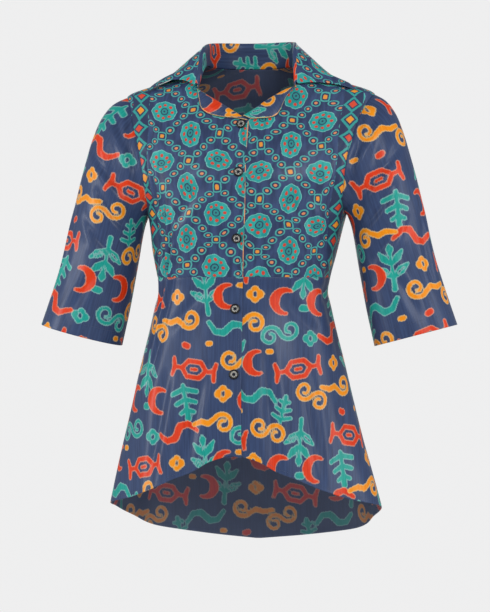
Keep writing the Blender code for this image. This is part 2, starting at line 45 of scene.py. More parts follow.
scene.view_settings.view_transform = "Standard"

SENSOR_WIDTH, FOCAL_LENGTH = 36, 117.65
CAMERA_DISTANCE = 3.2
CAMERA_AZIMUTH = math.radians(7.3)
AIM = Vector((-0.0047, -0.0006, -0.384))
lens = bpy.data.cameras.new("camera")
lens.sensor_width, lens.lens = SENSOR_WIDTH, FOCAL_LENGTH
camera = bpy.data.objects.new("camera", lens)
camera.location = AIM + CAMERA_DISTANCE * Vector((math.sin(CAMERA_AZIMUTH), -math.cos(CAMERA_AZIMUTH), 0))
camera.rotation_euler = (math.pi / 2, 0, CAMERA_AZIMUTH)
scene.collection.objects.link(camera)
scene.camera = camera

BACKDROP = 0.86
WORLD_LIGHT = 0.31
world = bpy.data.worlds.new("studio")
scene.world = world
world.use_nodes = True
sky = world.node_tree
seen = sky.nodes.new("ShaderNodeBackground")
seen.inputs["Color"].default_value = (BACKDROP, BACKDROP, BACKDROP * 1.003, 1)
lit = sky.nodes.new("ShaderNodeBackground")
lit.inputs["Color"].default_value = (1, 1, 1, 1)
lit.inputs["Strength"].default_value = WORLD_LIGHT
path = sky.nodes.new("ShaderNodeLightPath")
either = sky.nodes.new("ShaderNodeMixShader")
sky.links.new(path.outputs["Is Camera Ray"], either.inputs[0])
sky.links.new(lit.outputs[0], either.inputs[1])
sky.links.new(seen.outputs[0], either.inputs[2])
sky.links.new(either.outputs[0], sky.nodes["World Output"].inputs["Surface"])

LIGHT_AIM = Vector((0, 0, -0.35))
# Each light: name, place, size and watts
for name, place, size, power in (
    ("right soft box", (-1.75, -0.62, -0.1), (0.4, 1.0), 12),
    ("left soft box", (1.75, -0.45, -0.1), (0.6, 1.0), 9),
    ("right front box", (-1.3, -2.0, 0.7), (0.6, 1.2), 11),
    ("front soft box", (1.3, -2.6, 0.8), (1.1, 1.1), 33),
    ("back soft box", (-0.5, 2.6, 0.3), (2.2, 1.4), 14),
):
    lamp = bpy.data.lights.new(name, "AREA")
    lamp.shape = "RECTANGLE"
    lamp.size, lamp.size_y = size
    lamp.energy = power
    light = bpy.data.objects.new(name, lamp)
    light.location = place
    light.rotation_euler = (LIGHT_AIM - light.location).to_track_quat("-Z", "Y").to_euler()
    scene.collection.objects.link(light)

FLOOR_HEIGHT, FLOOR_REACH = -1.25, 6
floor_mesh = bpy.data.meshes.new("floor")
corners = ((-1, -1), (1, -1), (1, 1), (-1, 1))
corners = [(x * FLOOR_REACH, y * FLOOR_REACH, FLOOR_HEIGHT) for x, y in corners]
floor_mesh.from_pydata(corners, [], [(0, 1, 2, 3)])
floor = bpy.data.objects.new("floor", floor_mesh)
scene.collection.objects.link(floor)


class Thread:
    """A value, colour or direction in a material, worked with plain operators."""

    def __init__(self, tree, socket):
        self.tree, self.socket = tree, socket

    def node(self, kind, settings, values, output=0):
        """Any other node: its settings first, then the values or threads of its sockets."""
        made = self.tree.nodes.new("ShaderNode" + kind)
        for name, value in settings.items():
            setattr(made, name, value)
        for name, value in values.items():
            if isinstance(value, Thread):
                self.tree.links.new(value.socket, made.inputs[name])
            else:
                made.inputs[name].default_value = value
        return Thread(self.tree, made.outputs[output])

    def math(self, operation, *others):
        return self.node("Math", {"operation": operation}, dict(enumerate((self, *others))))

    def __add__(self, other):
        return self.math("ADD", other)

    def __sub__(self, other):
        return self.math("SUBTRACT", other)

    def __rsub__(self, other):
        return self.node("Math", {"operation": "SUBTRACT"}, {0: other, 1: self})

    def __mul__(self, other):
        return self.math("MULTIPLY", other)

    def __truediv__(self, other):
        return self.math("DIVIDE", other)

    def __abs__(self):
        return self.math("ABSOLUTE")

    __radd__, __rmul__ = __add__, __mul__

    def above(self, low, high):
        """0 below low, 1 above high and a soft step between."""
        values = {"Value": self, "From Min": low, "From Max": high}
        return self.node("MapRange", {"interpolation_type": "SMOOTHSTEP"}, values)

    def below(self, low, high):
        """1 below low, 0 above high and a soft step between."""
        return 1 - self.above(low, high)

    def rounded(self, pitch):
        """The number of the nearest repeat, for repeats a pitch apart."""
        return (self / pitch).math("ROUND")

    def odd(self):
        """1 for an odd number and 0 for an even one."""
        return self.math("MODULO", 2.0).math("ABSOLUTE")

    def far(self, other):
        """The distance of a place from the middle, from its two coordinates."""
        return (self * self + other * other).math("SQRT")

    def paint(self, under, over):
        """One colour over another where this mask is 1."""
        return self.node("Mix", {"data_type": "RGBA"}, {0: self, 6: under, 7: over}, 2)

    def part(self, name):
        return self.node("SeparateXYZ", {}, {"Vector": self}, name)

    def stored(self, name):
        """The three numbers that a mesh keeps for each vertex under a name."""
        return self.node("Attribute", {"attribute_name": name}, {}, "Vector")

    def noise(self, x, y, z=0.0, detail=1.0, output="Fac", **values):
        """Soft noise, one unit broad, read at three coordinates."""
        spot = self.node("CombineXYZ", {}, {"X": x, "Y": y, "Z": z})
        return self.node("TexNoise", {}, {"Vector": spot, "Scale": 1.0, "Detail": detail, **values}, output)

    def feed(self, shader, name):
        self.tree.links.new(self.socket, shader.inputs[name])


def material(name, roughness, **constants):
    """A new material: its first thread, its shader, and the constants set on the shader."""
    made = bpy.data.materials.new(name)
    made.use_nodes = True
    shader = made.node_tree.nodes["Principled BSDF"]
    shader.inputs["Roughness"].default_value = roughness
    for socket, value in constants.items():
        shader.inputs[socket.replace("_", " ")].default_value = value
    return made, Thread(made.node_tree, None), shader


def colour(red, green, blue):
    """A colour as a paint chart gives it, from 0 to 255, turned into light."""
    shares = (red / 255, green / 255, blue / 255)
    light = [c / 12.92 if c <= 0.04045 else ((c + 0.055) / 1.055) ** 2.4 for c in shares]
    return (*light, 1.0)


floor_paint, thread, shader = material("floor_paint", 0.7)
shader.inputs["Base Color"].default_value = colour(236, 236, 237)
place = thread.node("TexCoord", {}, {}, "Object")
away = place.part("X").far(place.part("Y")).above(1.2, 2.4)
clear = thread.node("BsdfTransparent", {}, {})
shown = thread.node("MixShader", {}, {0: away, 1: Thread(thread.tree, shader.outputs[0]), 2: clear})
thread.tree.links.new(shown.socket, thread.tree.nodes["Material Output"].inputs["Surface"])
floor_mesh.materials.append(floor_paint)

# The form of the body. The fronts and the back are cut to one shape: a superellipse at each
# level, leaning to the right at the waist, with flare folds below it and drag lines across.
MM = 0.001
SHOULDER_POINT = -49.0
ARMHOLE_DEPTH = 187.0
UNDERARM = SHOULDER_POINT - ARMHOLE_DEPTH
WAIST = -339.0
SECTION_POWER = 2.3
# Each level: height, half width, depth in front and behind, and lean to the left
LEVELS = np.array((
    (-790, 230, 140, 152, -1),
    (-700, 214, 133, 143, -2),
    (-650, 203, 129, 137, -4),
    (-600, 191, 124, 130, -6),
    (-549, 179, 118, 124, -7),
    (-480, 163.5, 108, 110, -8),
    (-424, 149.5, 99, 93, -8),
    (-384, 140.5, 94, 83, -8),
    (-360, 135.5, 93, 78, -8),
    (-342, 137.5, 95, 78, -7),
    (-298, 147, 103, 84, -5),
    (-236, 159, 117, 96, -1),
    (-190, 180, 119, 102, 0),
    (-144, 194, 106, 104, 0),
    (-96, 203, 82, 98, 0),
    (-49, 199, 60, 86, 4),
    (-25, 136, 50, 72, 5),
    (0, 70, 42, 56, 5),
))
# The hem: angle from the middle of the front, and height
HEM = np.array((
    (0, -614), (8, -624), (15, -639), (23, -650), (33, -664), (46, -677),
    (60, -687), (75, -695), (90, -704), (115, -728), (140, -752), (180, -772),
))
# Flare folds: angle, height where it starts, width and depth
FLARES = (
    (-140, -430, 13, 9),
    (-114, -450, 11, -7),
    (-79, -470, 11, 5),
    (-54, -480, 10, -5),
    (-27, -500, 10, 3),
    (24, -500, 10, 3),
    (50, -470, 10, -6),
    (76, -450, 11, 6),
    (110, -460, 12, -8),
    (138, -430, 13, 8),
    (164, -450, 11, -7),
    (-166, -470, 11, -6),
)
# Long folds: angle and height of the top, then of the foot, width and depth
FOLDS = (
    (-52, -170, -60, -345, 9, -3),
    (-66, -250, -58, -470, 9, 2.5),
    (56, -190, 66, -350, 9, -2.5),
    (70, -270, 62, -450, 9, 2.5),
    (-150, -180, -158, -420, 12, -4),
    (150, -170, 160, -410, 12, -4),
    (128, -230, 120, -430, 10, 3),
    (-126, -240, -122, -440, 10, 3),
)
# Creases: top, middle and foot as (across, height), then width and depth
FRONT_CREASES = (
    ((-160, -140), (-149, -215), (-133, -310), 5, -4.4),
    ((-143, -150), (-136, -215), (-129, -290), 3.4, -3.2),
    ((-124, -206), (-124, -292), (-133, -384), 3.6, -4),
    ((-110, -240), (-114, -312), (-132, -400), 3.4, -3.6),
    ((-106, -286), (-121, -394), (-164, -522), 3.2, 4.4),
    ((-136, -300), (-141, -340), (-146, -384), 3.8, -2.4),
    ((-128, -420), (-150, -500), (-170, -570), 8, -2.2),
    ((150, -150), (140, -216), (134, -306), 4.5, -3.2),
    ((152, -258), (143, -300), (136, -366), 3.8, -2.6),
    ((106, -238), (118, -290), (131, -356), 4.5, -2.2),
    ((134, -316), (128, -350), (120, -392), 4, -2.2),
    ((116, -336), (136, -404), (156, -486), 4.5, -3),
    ((60, -352), (88, -402), (126, -436), 8, -2.6),
    ((-52, -350), (-84, -392), (-118, -420), 8, -2.6),
    ((-30, -300), (-60, -318), (-100, -322), 6, -0.9),
    ((36, -306), (66, -318), (104, -326), 6, -0.9),
    ((-58, -192), (-82, -232), (-114, -262), 9, -2.6),
    ((62, -200), (86, -236), (120, -266), 9, -2.6),
    ((-166, -66), (-146, -100), (-140, -150), 7, -2.2),
    ((166, -70), (150, -104), (143, -152), 7, -2.2),
    ((-120, -34), (-140, -70), (-150, -120), 8, -1.2),
    ((118, -36), (136, -70), (146, -118), 8, -1.2),
    ((36, -440), (50, -530), (58, -650), 10, -4.8),
    ((-54, -470), (-70, -550), (-84, -660), 10, -4.4),
    ((96, -470), (112, -570), (126, -670), 9, -4.4),
    ((-112, -480), (-128, -560), (-146, -680), 9, -4.2),
    ((142, -440), (152, -520), (168, -600), 8, -3.8),
    ((6, -400), (20, -450), (26, -540), 9, -2),
)
BACK_CREASES = (
    ((-150, -130), (-138, -190), (-120, -262), 10, -3),
    ((152, -128), (140, -186), (124, -250), 10, -3),
    ((-128, -200), (-104, -268), (-70, -338), 9, -2.6),
    ((130, -212), (100, -276), (72, -342), 9, -2.6),
    ((-108, -296), (-60, -322), (-8, -336), 9, -2.4),
    ((112, -300), (70, -330), (24, -346), 9, -2.4),
    ((-122, -338), (-70, -362), (-14, -370), 8, -2),
    ((124, -344), (76, -368), (30, -376), 8, -2),
    ((-36, -60), (-44, -150), (-30, -260), 14, -1.8),
    ((60, -70), (64, -160), (48, -250), 14, -1.8),
    ((-20, -380), (-34, -470), (-30, -600), 14, -2.6),
    ((86, -400), (104, -500), (112, -640), 14, -2.4),
    ((-118, -400), (-130, -500), (-150, -620), 14, -2.4),
    ((20, -30), (0, -48), (-26, -38), 8, -1.4),
)


def curve(places, values, at):
    """A monotone cubic curve through a table's points, read at many places."""
    places, values = np.asarray(places, float), np.asarray(values, float)
    at = np.clip(np.asarray(at, float), places[0], places[-1])
    spans = np.diff(places)
    slopes = np.diff(values) / spans
    tangents = np.concatenate([slopes[:1], np.zeros(len(places) - 2), slopes[-1:]])
    for i in np.flatnonzero(slopes[:-1] * slopes[1:] > 0) + 1:
        before, after = 2 * spans[i] + spans[i - 1], spans[i] + 2 * spans[i - 1]
        tangents[i] = (before + after) / (before / slopes[i - 1] + after / slopes[i])
    i = np.minimum(np.searchsorted(places, at, side="right") - 1, len(spans) - 1)
    part = (at - places[i]) / spans[i]
    rise = part * part * (3 - 2 * part)
    start_bend = part * (1 - part) ** 2 * spans[i] * tangents[i]
    end_bend = part * part * (part - 1) * spans[i] * tangents[i + 1]
    return values[i] * (1 - rise) + values[i + 1] * rise + start_bend + end_bend


def bell(distance, width):
    return np.exp(-((distance / width) ** 2))


def unit(vectors):
    lengths = np.linalg.norm(vectors, axis=-1, keepdims=True)
    return vectors / np.maximum(lengths, 1e-9)


def turn_between(angle, other):
    """The short way round from one angle to another, in degrees."""
    return (angle - other + 180) % 360 - 180


def soft_step(value, low, high):
    part = np.clip((value - low) / (high - low), 0, 1)
    return part * part * (3 - 2 * part)


CREASE_POINTS, CREASE_REACH, CREASE_FADE = 13, 4, 0.8
RIDGE_DEPTH, RIDGE_PLACE, RIDGE_WIDTH = 0.55, 1.8, 1.1


def crease(across, down, line):
    """The push of one crease, a trough with a low ridge along one side, fading at both ends."""
    top, middle, foot, width, depth = line
    top, middle, foot = (np.array(point, float) for point in (top, middle, foot))
    shares = np.linspace(0, 1, CREASE_POINTS)[:, None]
    path = top * (1 - shares) ** 2 + 2 * middle * shares * (1 - shares) + foot * shares**2
    push = np.zeros(np.shape(across))
    reach = CREASE_REACH * width
    low, high = path.min(axis=0) - reach, path.max(axis=0) + reach
    near = (across > low[0]) & (across < high[0]) & (down > low[1]) & (down < high[1])
    if not near.any():
        return push
    points = np.stack([across[near], down[near]], -1)
    best = np.full(len(points), 1e9)
    along, aside = np.zeros(len(points)), np.zeros(len(points))
    for k in range(len(path) - 1):
        step = path[k + 1] - path[k]
        share = np.clip((points - path[k]) @ step / (step @ step), 0, 1)
        gap = points - path[k] - share[:, None] * step
        far = np.linalg.norm(gap, axis=1)
        closer = far < best
        best = np.where(closer, far, best)
        along = np.where(closer, (k + share) / (len(path) - 1), along)
        aside = np.where(closer, np.sign(step[0] * gap[:, 1] - step[1] * gap[:, 0]) * far, aside)
    ridge = RIDGE_DEPTH * bell(aside - RIDGE_PLACE * width, RIDGE_WIDTH * width)
    past_end = np.sqrt(np.maximum(best**2 - aside**2, 0))
    fade = np.sin(math.pi * along) ** CREASE_FADE * bell(past_end, width)
    push[near] = depth * (bell(aside, width) - ridge) * fade
    return push


def bow(value):
    """Flattens a sine or cosine, so that a section is a superellipse."""
    return np.copysign(np.abs(value) ** (2 / SECTION_POWER), value)


def hem_height(angle):
    return curve(HEM[:, 0], HEM[:, 1], np.abs(turn_between(angle, 0)))


FLARE_GROWTH = 1.5


def fold_push(angle, height):
    total = np.zeros(np.shape(angle))
    for middle, top, width, depth in FLARES:
        grown = np.clip((top - height) / (top - hem_height(middle)), 0, None)
        total += depth * grown**FLARE_GROWTH * bell(turn_between(angle, middle), width)
    for top_angle, top, foot_angle, foot, width, depth in FOLDS:
        part = np.clip((top - height) / (top - foot), 0, 1)
        middle = top_angle + part * (foot_angle - top_angle)
        total += depth * np.sin(math.pi * part) ** 2 * bell(turn_between(angle, middle), width)
    return total


LEVEL_COLUMNS = ("height", "half", "front", "back", "sway")
SIDE_FADE = (0.02, 0.3)


def level(name, height):
    return curve(LEVELS[:, 0], LEVELS[:, LEVEL_COLUMNS.index(name)], height)


def body(angle, height):
    """Points of the outside of the cloth at many angles and heights, in millimetres."""
    angle, height = np.broadcast_arrays(np.asarray(angle, float), np.asarray(height, float))
    across = bow(np.sin(np.radians(angle)))
    ahead = bow(np.cos(np.radians(angle)))
    half, sway = level("half", height), level("sway", height)
    depth = np.where(ahead > 0, level("front", height), level("back", height))
    push = fold_push(angle, height)
    flat_x = sway + half * across
    for lines, facing in ((FRONT_CREASES, ahead), (BACK_CREASES, -ahead)):
        fade = soft_step(facing, *SIDE_FADE)
        for line in lines:
            push = push + fade * crease(flat_x, height, line)
    return np.stack([sway + (half + push) * across, -(depth + push) * ahead, height], -1)


def body_normal(angle, height):
    round_step = body(angle + 1.0, height) - body(angle - 1.0, height)
    down_step = body(angle, height - 2.0) - body(angle, height + 2.0)
    return unit(np.cross(down_step, round_step))


def angle_at(x, height):
    """The angle of a front point that lies at x on a level."""
    part = np.clip((x - level("sway", height)) / level("half", height), -1, 1)
    return np.copysign(np.degrees(np.arcsin(np.abs(part) ** (SECTION_POWER / 2))), part)


FRONT_SCOOP, BACK_SCOOP, SCOOP_POWER = 34.0, 24.0, 0.8
SHOULDER_SPREAD = 1.9


def armhole(side, share, scoop):
    """Angle and height of a point of the armhole, from the shoulder point down to the underarm."""
    turn = math.pi * np.asarray(share, float)
    angle = 90.0 - scoop * np.sin(turn) ** SCOOP_POWER
    return side * angle, SHOULDER_POINT - ARMHOLE_DEPTH * (1 - np.cos(turn)) / 2


def cuts(length, step, near=(0.8, 2.0, 4.0)):
    """Shares from 0 to 1 along a length, a step apart, with closer ones by both ends."""
    ends = np.array(near) / length
    middle = np.linspace(ends[-1], 1 - ends[-1], max(round(length / step), 2) + 1)
    return np.concatenate([[0], ends[:-1], middle, 1 - ends[-2::-1], [1]])


SHOULDER_LENGTH, ARMHOLE_LENGTH = 1.2, 1.35


def side_line(side, scoop, step):
    """Angle and height of each fine row at the side: shoulder, armhole, then side seam."""
    shoulder = cuts(-SHOULDER_POINT * SHOULDER_LENGTH, step)[:-1]
    hole = np.linspace(0, 1, round(ARMHOLE_DEPTH * ARMHOLE_LENGTH / step))
    # The side seam runs on from the armhole, so it needs no close rows at its top
    below = cuts(UNDERARM - WAIST, step)[4:]
    hole_angle, hole_height = armhole(side, hole, scoop)
    angles = [side * 90.0 + 0 * shoulder, hole_angle, side * 90.0 + 0 * below]
    heights = [SHOULDER_POINT * shoulder, hole_height, UNDERARM + (WAIST - UNDERARM) * below]
    return np.concatenate(angles), np.concatenate(heights)


def laid_flat(angle, height):
    """How far down the flat cloth each point lies; the slope of the shoulder takes up more."""
    above = np.clip(height - SHOULDER_POINT, 0, None)
    return -height - above * SHOULDER_SPREAD * np.sin(np.radians(angle)) ** 2


CLOTH = 0.7
SEAM_RISE, SEAM_WIDTH = 0.45, 1.6
HEM_FOLD, HEM_SLOPE, HEM_THICKER = 7.0, 1.5, 0.5
EDGE_ROUND = 0.4
MERGE_DISTANCE = 0.00001
surfaces = {}


def run_length(points, axis):
    """How far each point lies along its row or column, from that line's start."""
    steps = np.linalg.norm(np.diff(points, axis=axis), axis=-1)
    pad = [(0, 0), (0, 0)]
    pad[axis] = (1, 0)
    return np.cumsum(np.pad(steps, pad), axis=axis)


def store(mesh, layer, values):
    """Keeps three numbers for each vertex, which the materials read."""
    vectors = values.ravel().astype(np.float32)
    mesh.attributes.new(layer, "FLOAT_VECTOR", "POINT").data.foreach_set("vector", vectors)


def closed(mesh, merge=0.0):
    """Joins vertices nearer than merge, turns every face outward and shades all smooth."""
    work = bmesh.new()
    work.from_mesh(mesh)
    if merge:
        bmesh.ops.remove_doubles(work, verts=work.verts, dist=merge)
    bmesh.ops.recalc_face_normals(work, faces=work.faces)
    work.to_mesh(mesh)
    work.free()
    mesh.shade_smooth()


def added(name, mesh):
    """A new piece of the part, riding on its only body."""
    piece = bpy.data.objects.new(name, mesh)
    scene.collection.objects.link(piece)
    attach(piece, "root")
    return piece


def cloth(name, outer, normals, flat, sewn, finish, wall=CLOTH, paints=None, bound=None, lining=None):
    """A piece of cloth from a grid of outer points: both faces, turned edges and seam valleys.

    sewn names the sides of the grid that are sewn to other pieces; the others are turned edges,
    where bound names the print's colour that shows as a thin line. flat holds where each point
    lay before sewing, in millimetres. lining is a second finish and the columns that have it.
    """
    rows, columns = outer.shape[:2]
    along, down = run_length(outer, 1), run_length(outer, 0)
    gaps = {
        "top": down, "foot": down[-1:] - down,
        "start": along, "end": along[:, -1:] - along,
    }
    seam = np.full((rows, columns), 1e3)
    hem = np.full((rows, columns), 1e3)
    for side, gap in gaps.items():
        if side in sewn:
            seam = np.minimum(seam, gap)
        else:
            hem = np.minimum(hem, gap)
    outer = outer + normals * (SEAM_RISE * (1 - bell(seam, SEAM_WIDTH)))[..., None]
    surfaces[name] = outer, normals
    thick = wall * (1 + HEM_THICKER * soft_step(HEM_FOLD - hem, 0, HEM_SLOPE))
    inner = outer - normals * thick[..., None]
    ring = [(0, j) for j in range(columns)] + [(i, columns - 1) for i in range(1, rows)]
    ring += [(rows - 1, j) for j in range(columns - 2, -1, -1)] + [(i, 0) for i in range(rows - 2, 0, -1)]
    rim = []
    for i, j in ring:
        inward = (min(max(i, 1), rows - 2), min(max(j, 1), columns - 2))
        out = unit(outer[i, j] - outer[inward])
        push = 0.0 if seam[i, j] < 0.01 else thick[i, j] * EDGE_ROUND
        rim.append((outer[i, j] + inner[i, j]) / 2 + out * push)
    index = np.arange(rows * columns).reshape(rows, columns)
    faces = np.stack([index[:-1, :-1], index[1:, :-1], index[1:, 1:], index[:-1, 1:]], -1).reshape(-1, 4)
    under = faces[:, ::-1] + rows * columns
    first = 2 * rows * columns
    edge = np.array([index[i, j] for i, j in ring])
    following = np.roll(edge, -1)
    middle = first + np.arange(len(ring))
    next_middle = np.roll(middle, -1)
    upper_rim = np.stack([edge, following, next_middle, middle], -1)
    lower_rim = np.stack([middle, next_middle, following + rows * columns, edge + rows * columns], -1)
    mesh = bpy.data.meshes.new(name)
    vertices = np.concatenate([outer.reshape(-1, 3), inner.reshape(-1, 3), np.array(rim)]) * MM
    mesh.from_pydata(vertices, [], np.concatenate([faces, under, upper_rim, lower_rim]).tolist())
    mesh.materials.append(finish)
    if lining is not None:
        mesh.materials.append(lining[0])
        lined = np.zeros(len(mesh.polygons), np.int32)
        lined[: len(faces)] = np.tile(np.arange(columns - 1) < lining[1], rows - 1)
        mesh.polygons.foreach_set("material_index", lined)
    spots = np.concatenate([flat.reshape(-1, 2)] * 2 + [flat[tuple(zip(*ring))]])
    reverse = np.zeros(len(spots))
    reverse[rows * columns : first] = 1
    stored = {"flat": np.column_stack([spots, reverse])}
    if paints is not None:
        stored["print"] = paints(spots)
    if bound is not None:
        edging = np.concatenate([hem.ravel(), hem.ravel(), [0.0] * len(ring)])
        stored["print"][:, bound] = np.maximum(stored["print"][:, bound], -edging)
    for layer, values in stored.items():
        store(mesh, layer, values)
    closed(mesh, MERGE_DISTANCE)
    return added(name, mesh)


# The back, one piece of navy printed sateen from shoulder to the long hem. The print is of
# scrolls, crescents, pierced lozenges, bobbins, combs, waves and leaf sprigs in orange, red
# and teal, each with a thin pale line and the toothed edges of tied and dyed yarn.
TILE_WIDTH, TILE_HEIGHT = 262.0, 306.0
MOTIF_GROWTH = 1.2
PRINT_SIZE = 0.84
RED, ORANGE, TEAL = 0, 1, 2


def arc(x, y, radius, start, sweep, shrink=0.0, count=18):
    """Points along a circle's arc that winds in by the share shrink."""
    turns = np.radians(np.linspace(start, start + sweep, count))
    radii = radius * (1 - shrink * np.linspace(0, 1, count))
    return np.column_stack([x + radii * np.cos(turns), y + radii * np.sin(turns)])


def both(points, widths):
    """A stroke and its mirror image."""
    return (points, widths), ([(-x, y) for x, y in points], widths)


BAR = (3.2, 3.2, 3.2)
# Each motif is a list of strokes: points and the half width at its start, middle and end.
# A stroke with a minus width cuts a hole.
MOTIFS = {
    "scroll": [
        (arc(-16, 0, 16, 0, 430, 0.74, 30), (3.2, 2.5, 2.0)),
        (arc(16, 0, 16, 180, 430, 0.74, 30), (3.2, 2.5, 2.0)),
    ],
    "curl": [
        (arc(12, 0, 15, 160, -430, 0.74, 30), (3.2, 2.6, 2.0)),
        (((-1.5, 4), (-10, -7), (-22, -8), (-34, -17)), (3.4, 4.4, 3.0)),
    ],
    "eye": [
        (((-8, 0), (8, 0)), (8.0, 12.0, 8.0)),
        (((0, -8), (0, 8)), (7.0, 10.5, 7.0)),
        (((0, -2), (0, 2)), (-3.8, -4.4, -3.8)),
    ],
    "crescent": [(arc(0, 0, 19, 75, 210, 0.0, 20), (2.4, 8.5, 2.4))],
    "bobbin": [
        (((-20, 0), (-10, 12), (10, 12), (20, 0), (10, -12), (-10, -12), (-20, 0)), (3.4, 3.8, 3.4)),
        *both(((20, 0), (33, 0)), BAR),
        *both(((36, -13), (33, 0), (36, 13)), (3.0, 4.0, 3.0)),
        (((-4, 0), (4, 0)), (2.6, 3.0, 2.6)),
    ],
    "wave": [(((-34, -4), (-20, 9), (-6, 8), (6, -8), (20, -9), (34, 5)), (3.4, 6.2, 3.2))],
    "sprig": [
        (((0, -34), (0, -10), (0, 22)), (4.0, 2.4, 1.8)),
        *both(((0, -16), (13, -6), (24, 2)), (2.2, 6.4, 2.2)),
        *both(((0, 4), (10, 14), (18, 24)), (2.2, 5.6, 2.0)),
        (((0, 20), (0, 28), (0, 34)), (2.8, 5.6, 2.2)),
        *both(((8, -9.5), (18, -2.5)), (-1.6, -2.0, -1.4)),
    ],
    "comb": [
        (((0, -24), (0, 0), (0, 24)), (3.2, 2.8, 4.6)),
        (((-19, -13), (0, -19), (19, -13)), (3.4, 3.6, 3.4)),
        (((-15, 2), (0, -4), (15, 2)), (3.2, 3.4, 3.2)),
        (((-10, 16), (0, 11), (10, 16)), (3.0, 3.2, 3.0)),
    ],
    "drop": [(((-3, 0), (3, 0)), (4.6, 5.2, 4.6))],
}
MOTIF_REACH, OUTSIDE, DEEPEST = 62, -8.0, 6
# The repeat: motif, colour, place across and down the tile, size, turn in degrees, flip
REPEAT = (
    ("bobbin", RED, 62, 34, 1.0, 8, 1),
    ("scroll", ORANGE, 150, 22, 1.0, 24, 1),
    ("sprig", TEAL, 214, 44, 1.0, 4, 1),
    ("crescent", RED, 250, 94, 0.95, 12, 1),
    ("crescent", RED, 178, 92, 0.95, 12, -1),
    ("eye", ORANGE, 120, 78, 0.85, 0, 1),
    ("comb", TEAL, 44, 94, 1.05, -8, 1),
    ("drop", TEAL, 214, 104, 1.1, 0, 1),
    ("curl", ORANGE, 106, 128, 1.05, 18, -1),
    ("wave", RED, 26, 150, 1.0, -14, 1),
    ("scroll", TEAL, 168, 150, 1.0, -20, -1),
    ("eye", TEAL, 228, 160, 0.8, 0, 1),
    ("sprig", TEAL, 84, 196, 1.0, 172, 1),
    ("crescent", RED, 128, 204, 0.9, -6, 1),
    ("eye", ORANGE, 24, 206, 0.8, 0, 1),
    ("bobbin", RED, 206, 216, 1.0, -10, -1),
    ("drop", ORANGE, 150, 184, 0.8, 0, 1),
    ("curl", ORANGE, 40, 252, 1.05, -24, 1),
    ("wave", TEAL, 128, 264, 0.95, 10, 1),
    ("scroll", ORANGE, 236, 266, 0.95, 36, 1),
    ("comb", TEAL, 180, 290, 0.8, 12, -1),
    ("drop", ORANGE, 92, 292, 0.8, 0, 1),
    ("drop", RED, 46, 296, 1.0, 20, 1),
)


def stroke_cover(points, path, widths):
    """How deep each point lies inside one stroke, in millimetres; minus outside."""
    path = np.asarray(path, float)
    best = np.full(len(points), -1e3)
    shares = np.linspace(0, 2, len(path))
    halves = np.interp(shares, (0, 1, 2), np.abs(widths))
    for k in range(len(path) - 1):
        step = path[k + 1] - path[k]
        share = np.clip((points - path[k]) @ step / max(step @ step, 1e-9), 0, 1)
        far = np.linalg.norm(points - path[k] - share[:, None] * step, axis=1)
        best = np.maximum(best, halves[k] + share * (halves[k + 1] - halves[k]) - far)
    return best


def scroll_print(spots):
    """How deep each spot of the flat cloth lies inside the print's red, orange and teal."""
    spots = spots / PRINT_SIZE
    cover = np.full((len(spots), 3), OUTSIDE)
    low, high = spots.min(axis=0), spots.max(axis=0)
    for kind, tint, across, down, size, turn, flip in REPEAT:
        spin, size = math.radians(turn), size * MOTIF_GROWTH
        ahead = np.array((math.cos(spin), math.sin(spin)))
        aside = np.array((-math.sin(spin), math.cos(spin))) * flip
        for i in range(math.floor(low[0] / TILE_WIDTH) - 1, math.ceil(high[0] / TILE_WIDTH) + 1):
            for j in range(math.floor(low[1] / TILE_HEIGHT) - 1, math.ceil(high[1] / TILE_HEIGHT) + 1):
                gap = spots - (across + i * TILE_WIDTH, down + j * TILE_HEIGHT)
                near = np.flatnonzero(np.abs(gap).max(axis=1) < MOTIF_REACH * size)
                if not len(near):
                    continue
                local = np.column_stack([gap[near] @ ahead, gap[near] @ aside]) / size
                depth = np.full(len(near), OUTSIDE)
                for path, widths in MOTIFS[kind]:
                    found = stroke_cover(local, path, widths) * size
                    depth = np.minimum(depth, -found) if widths[0] < 0 else np.maximum(depth, found)
                cover[near, tint] = np.maximum(cover[near, tint], depth)
    return np.clip(cover * PRINT_SIZE, -DEEPEST, DEEPEST)


WEAVE_STRENGTH, FLOAT_HEIGHT, SLUB_HEIGHT = 0.25, 0.12, 1.6


def weave(thread, shader, u, v):
    """The bump of the sateen: fine long floats and a little slub."""
    fine = thread.noise(u * 1.6, v * 0.5)
    broad = thread.noise(u * 0.06, v * 0.05, detail=2.0)
    height = fine * FLOAT_HEIGHT + broad * SLUB_HEIGHT
    bump = thread.node("Bump", {}, {"Strength": WEAVE_STRENGTH, "Distance": MM, "Height": height}, "Normal")
    bump.feed(shader, "Normal")


NAVY, DEEP_NAVY = colour(58, 78, 118), colour(42, 56, 90)
GLOSS = {"Sheen_Weight": 0.04, "Specular_IOR_Level": 0.2, "Coat_Weight": 0.2, "Coat_Roughness": 0.25}
CLOTH_ROUGHNESS, REVERSE_FADE = 0.5, 0.45

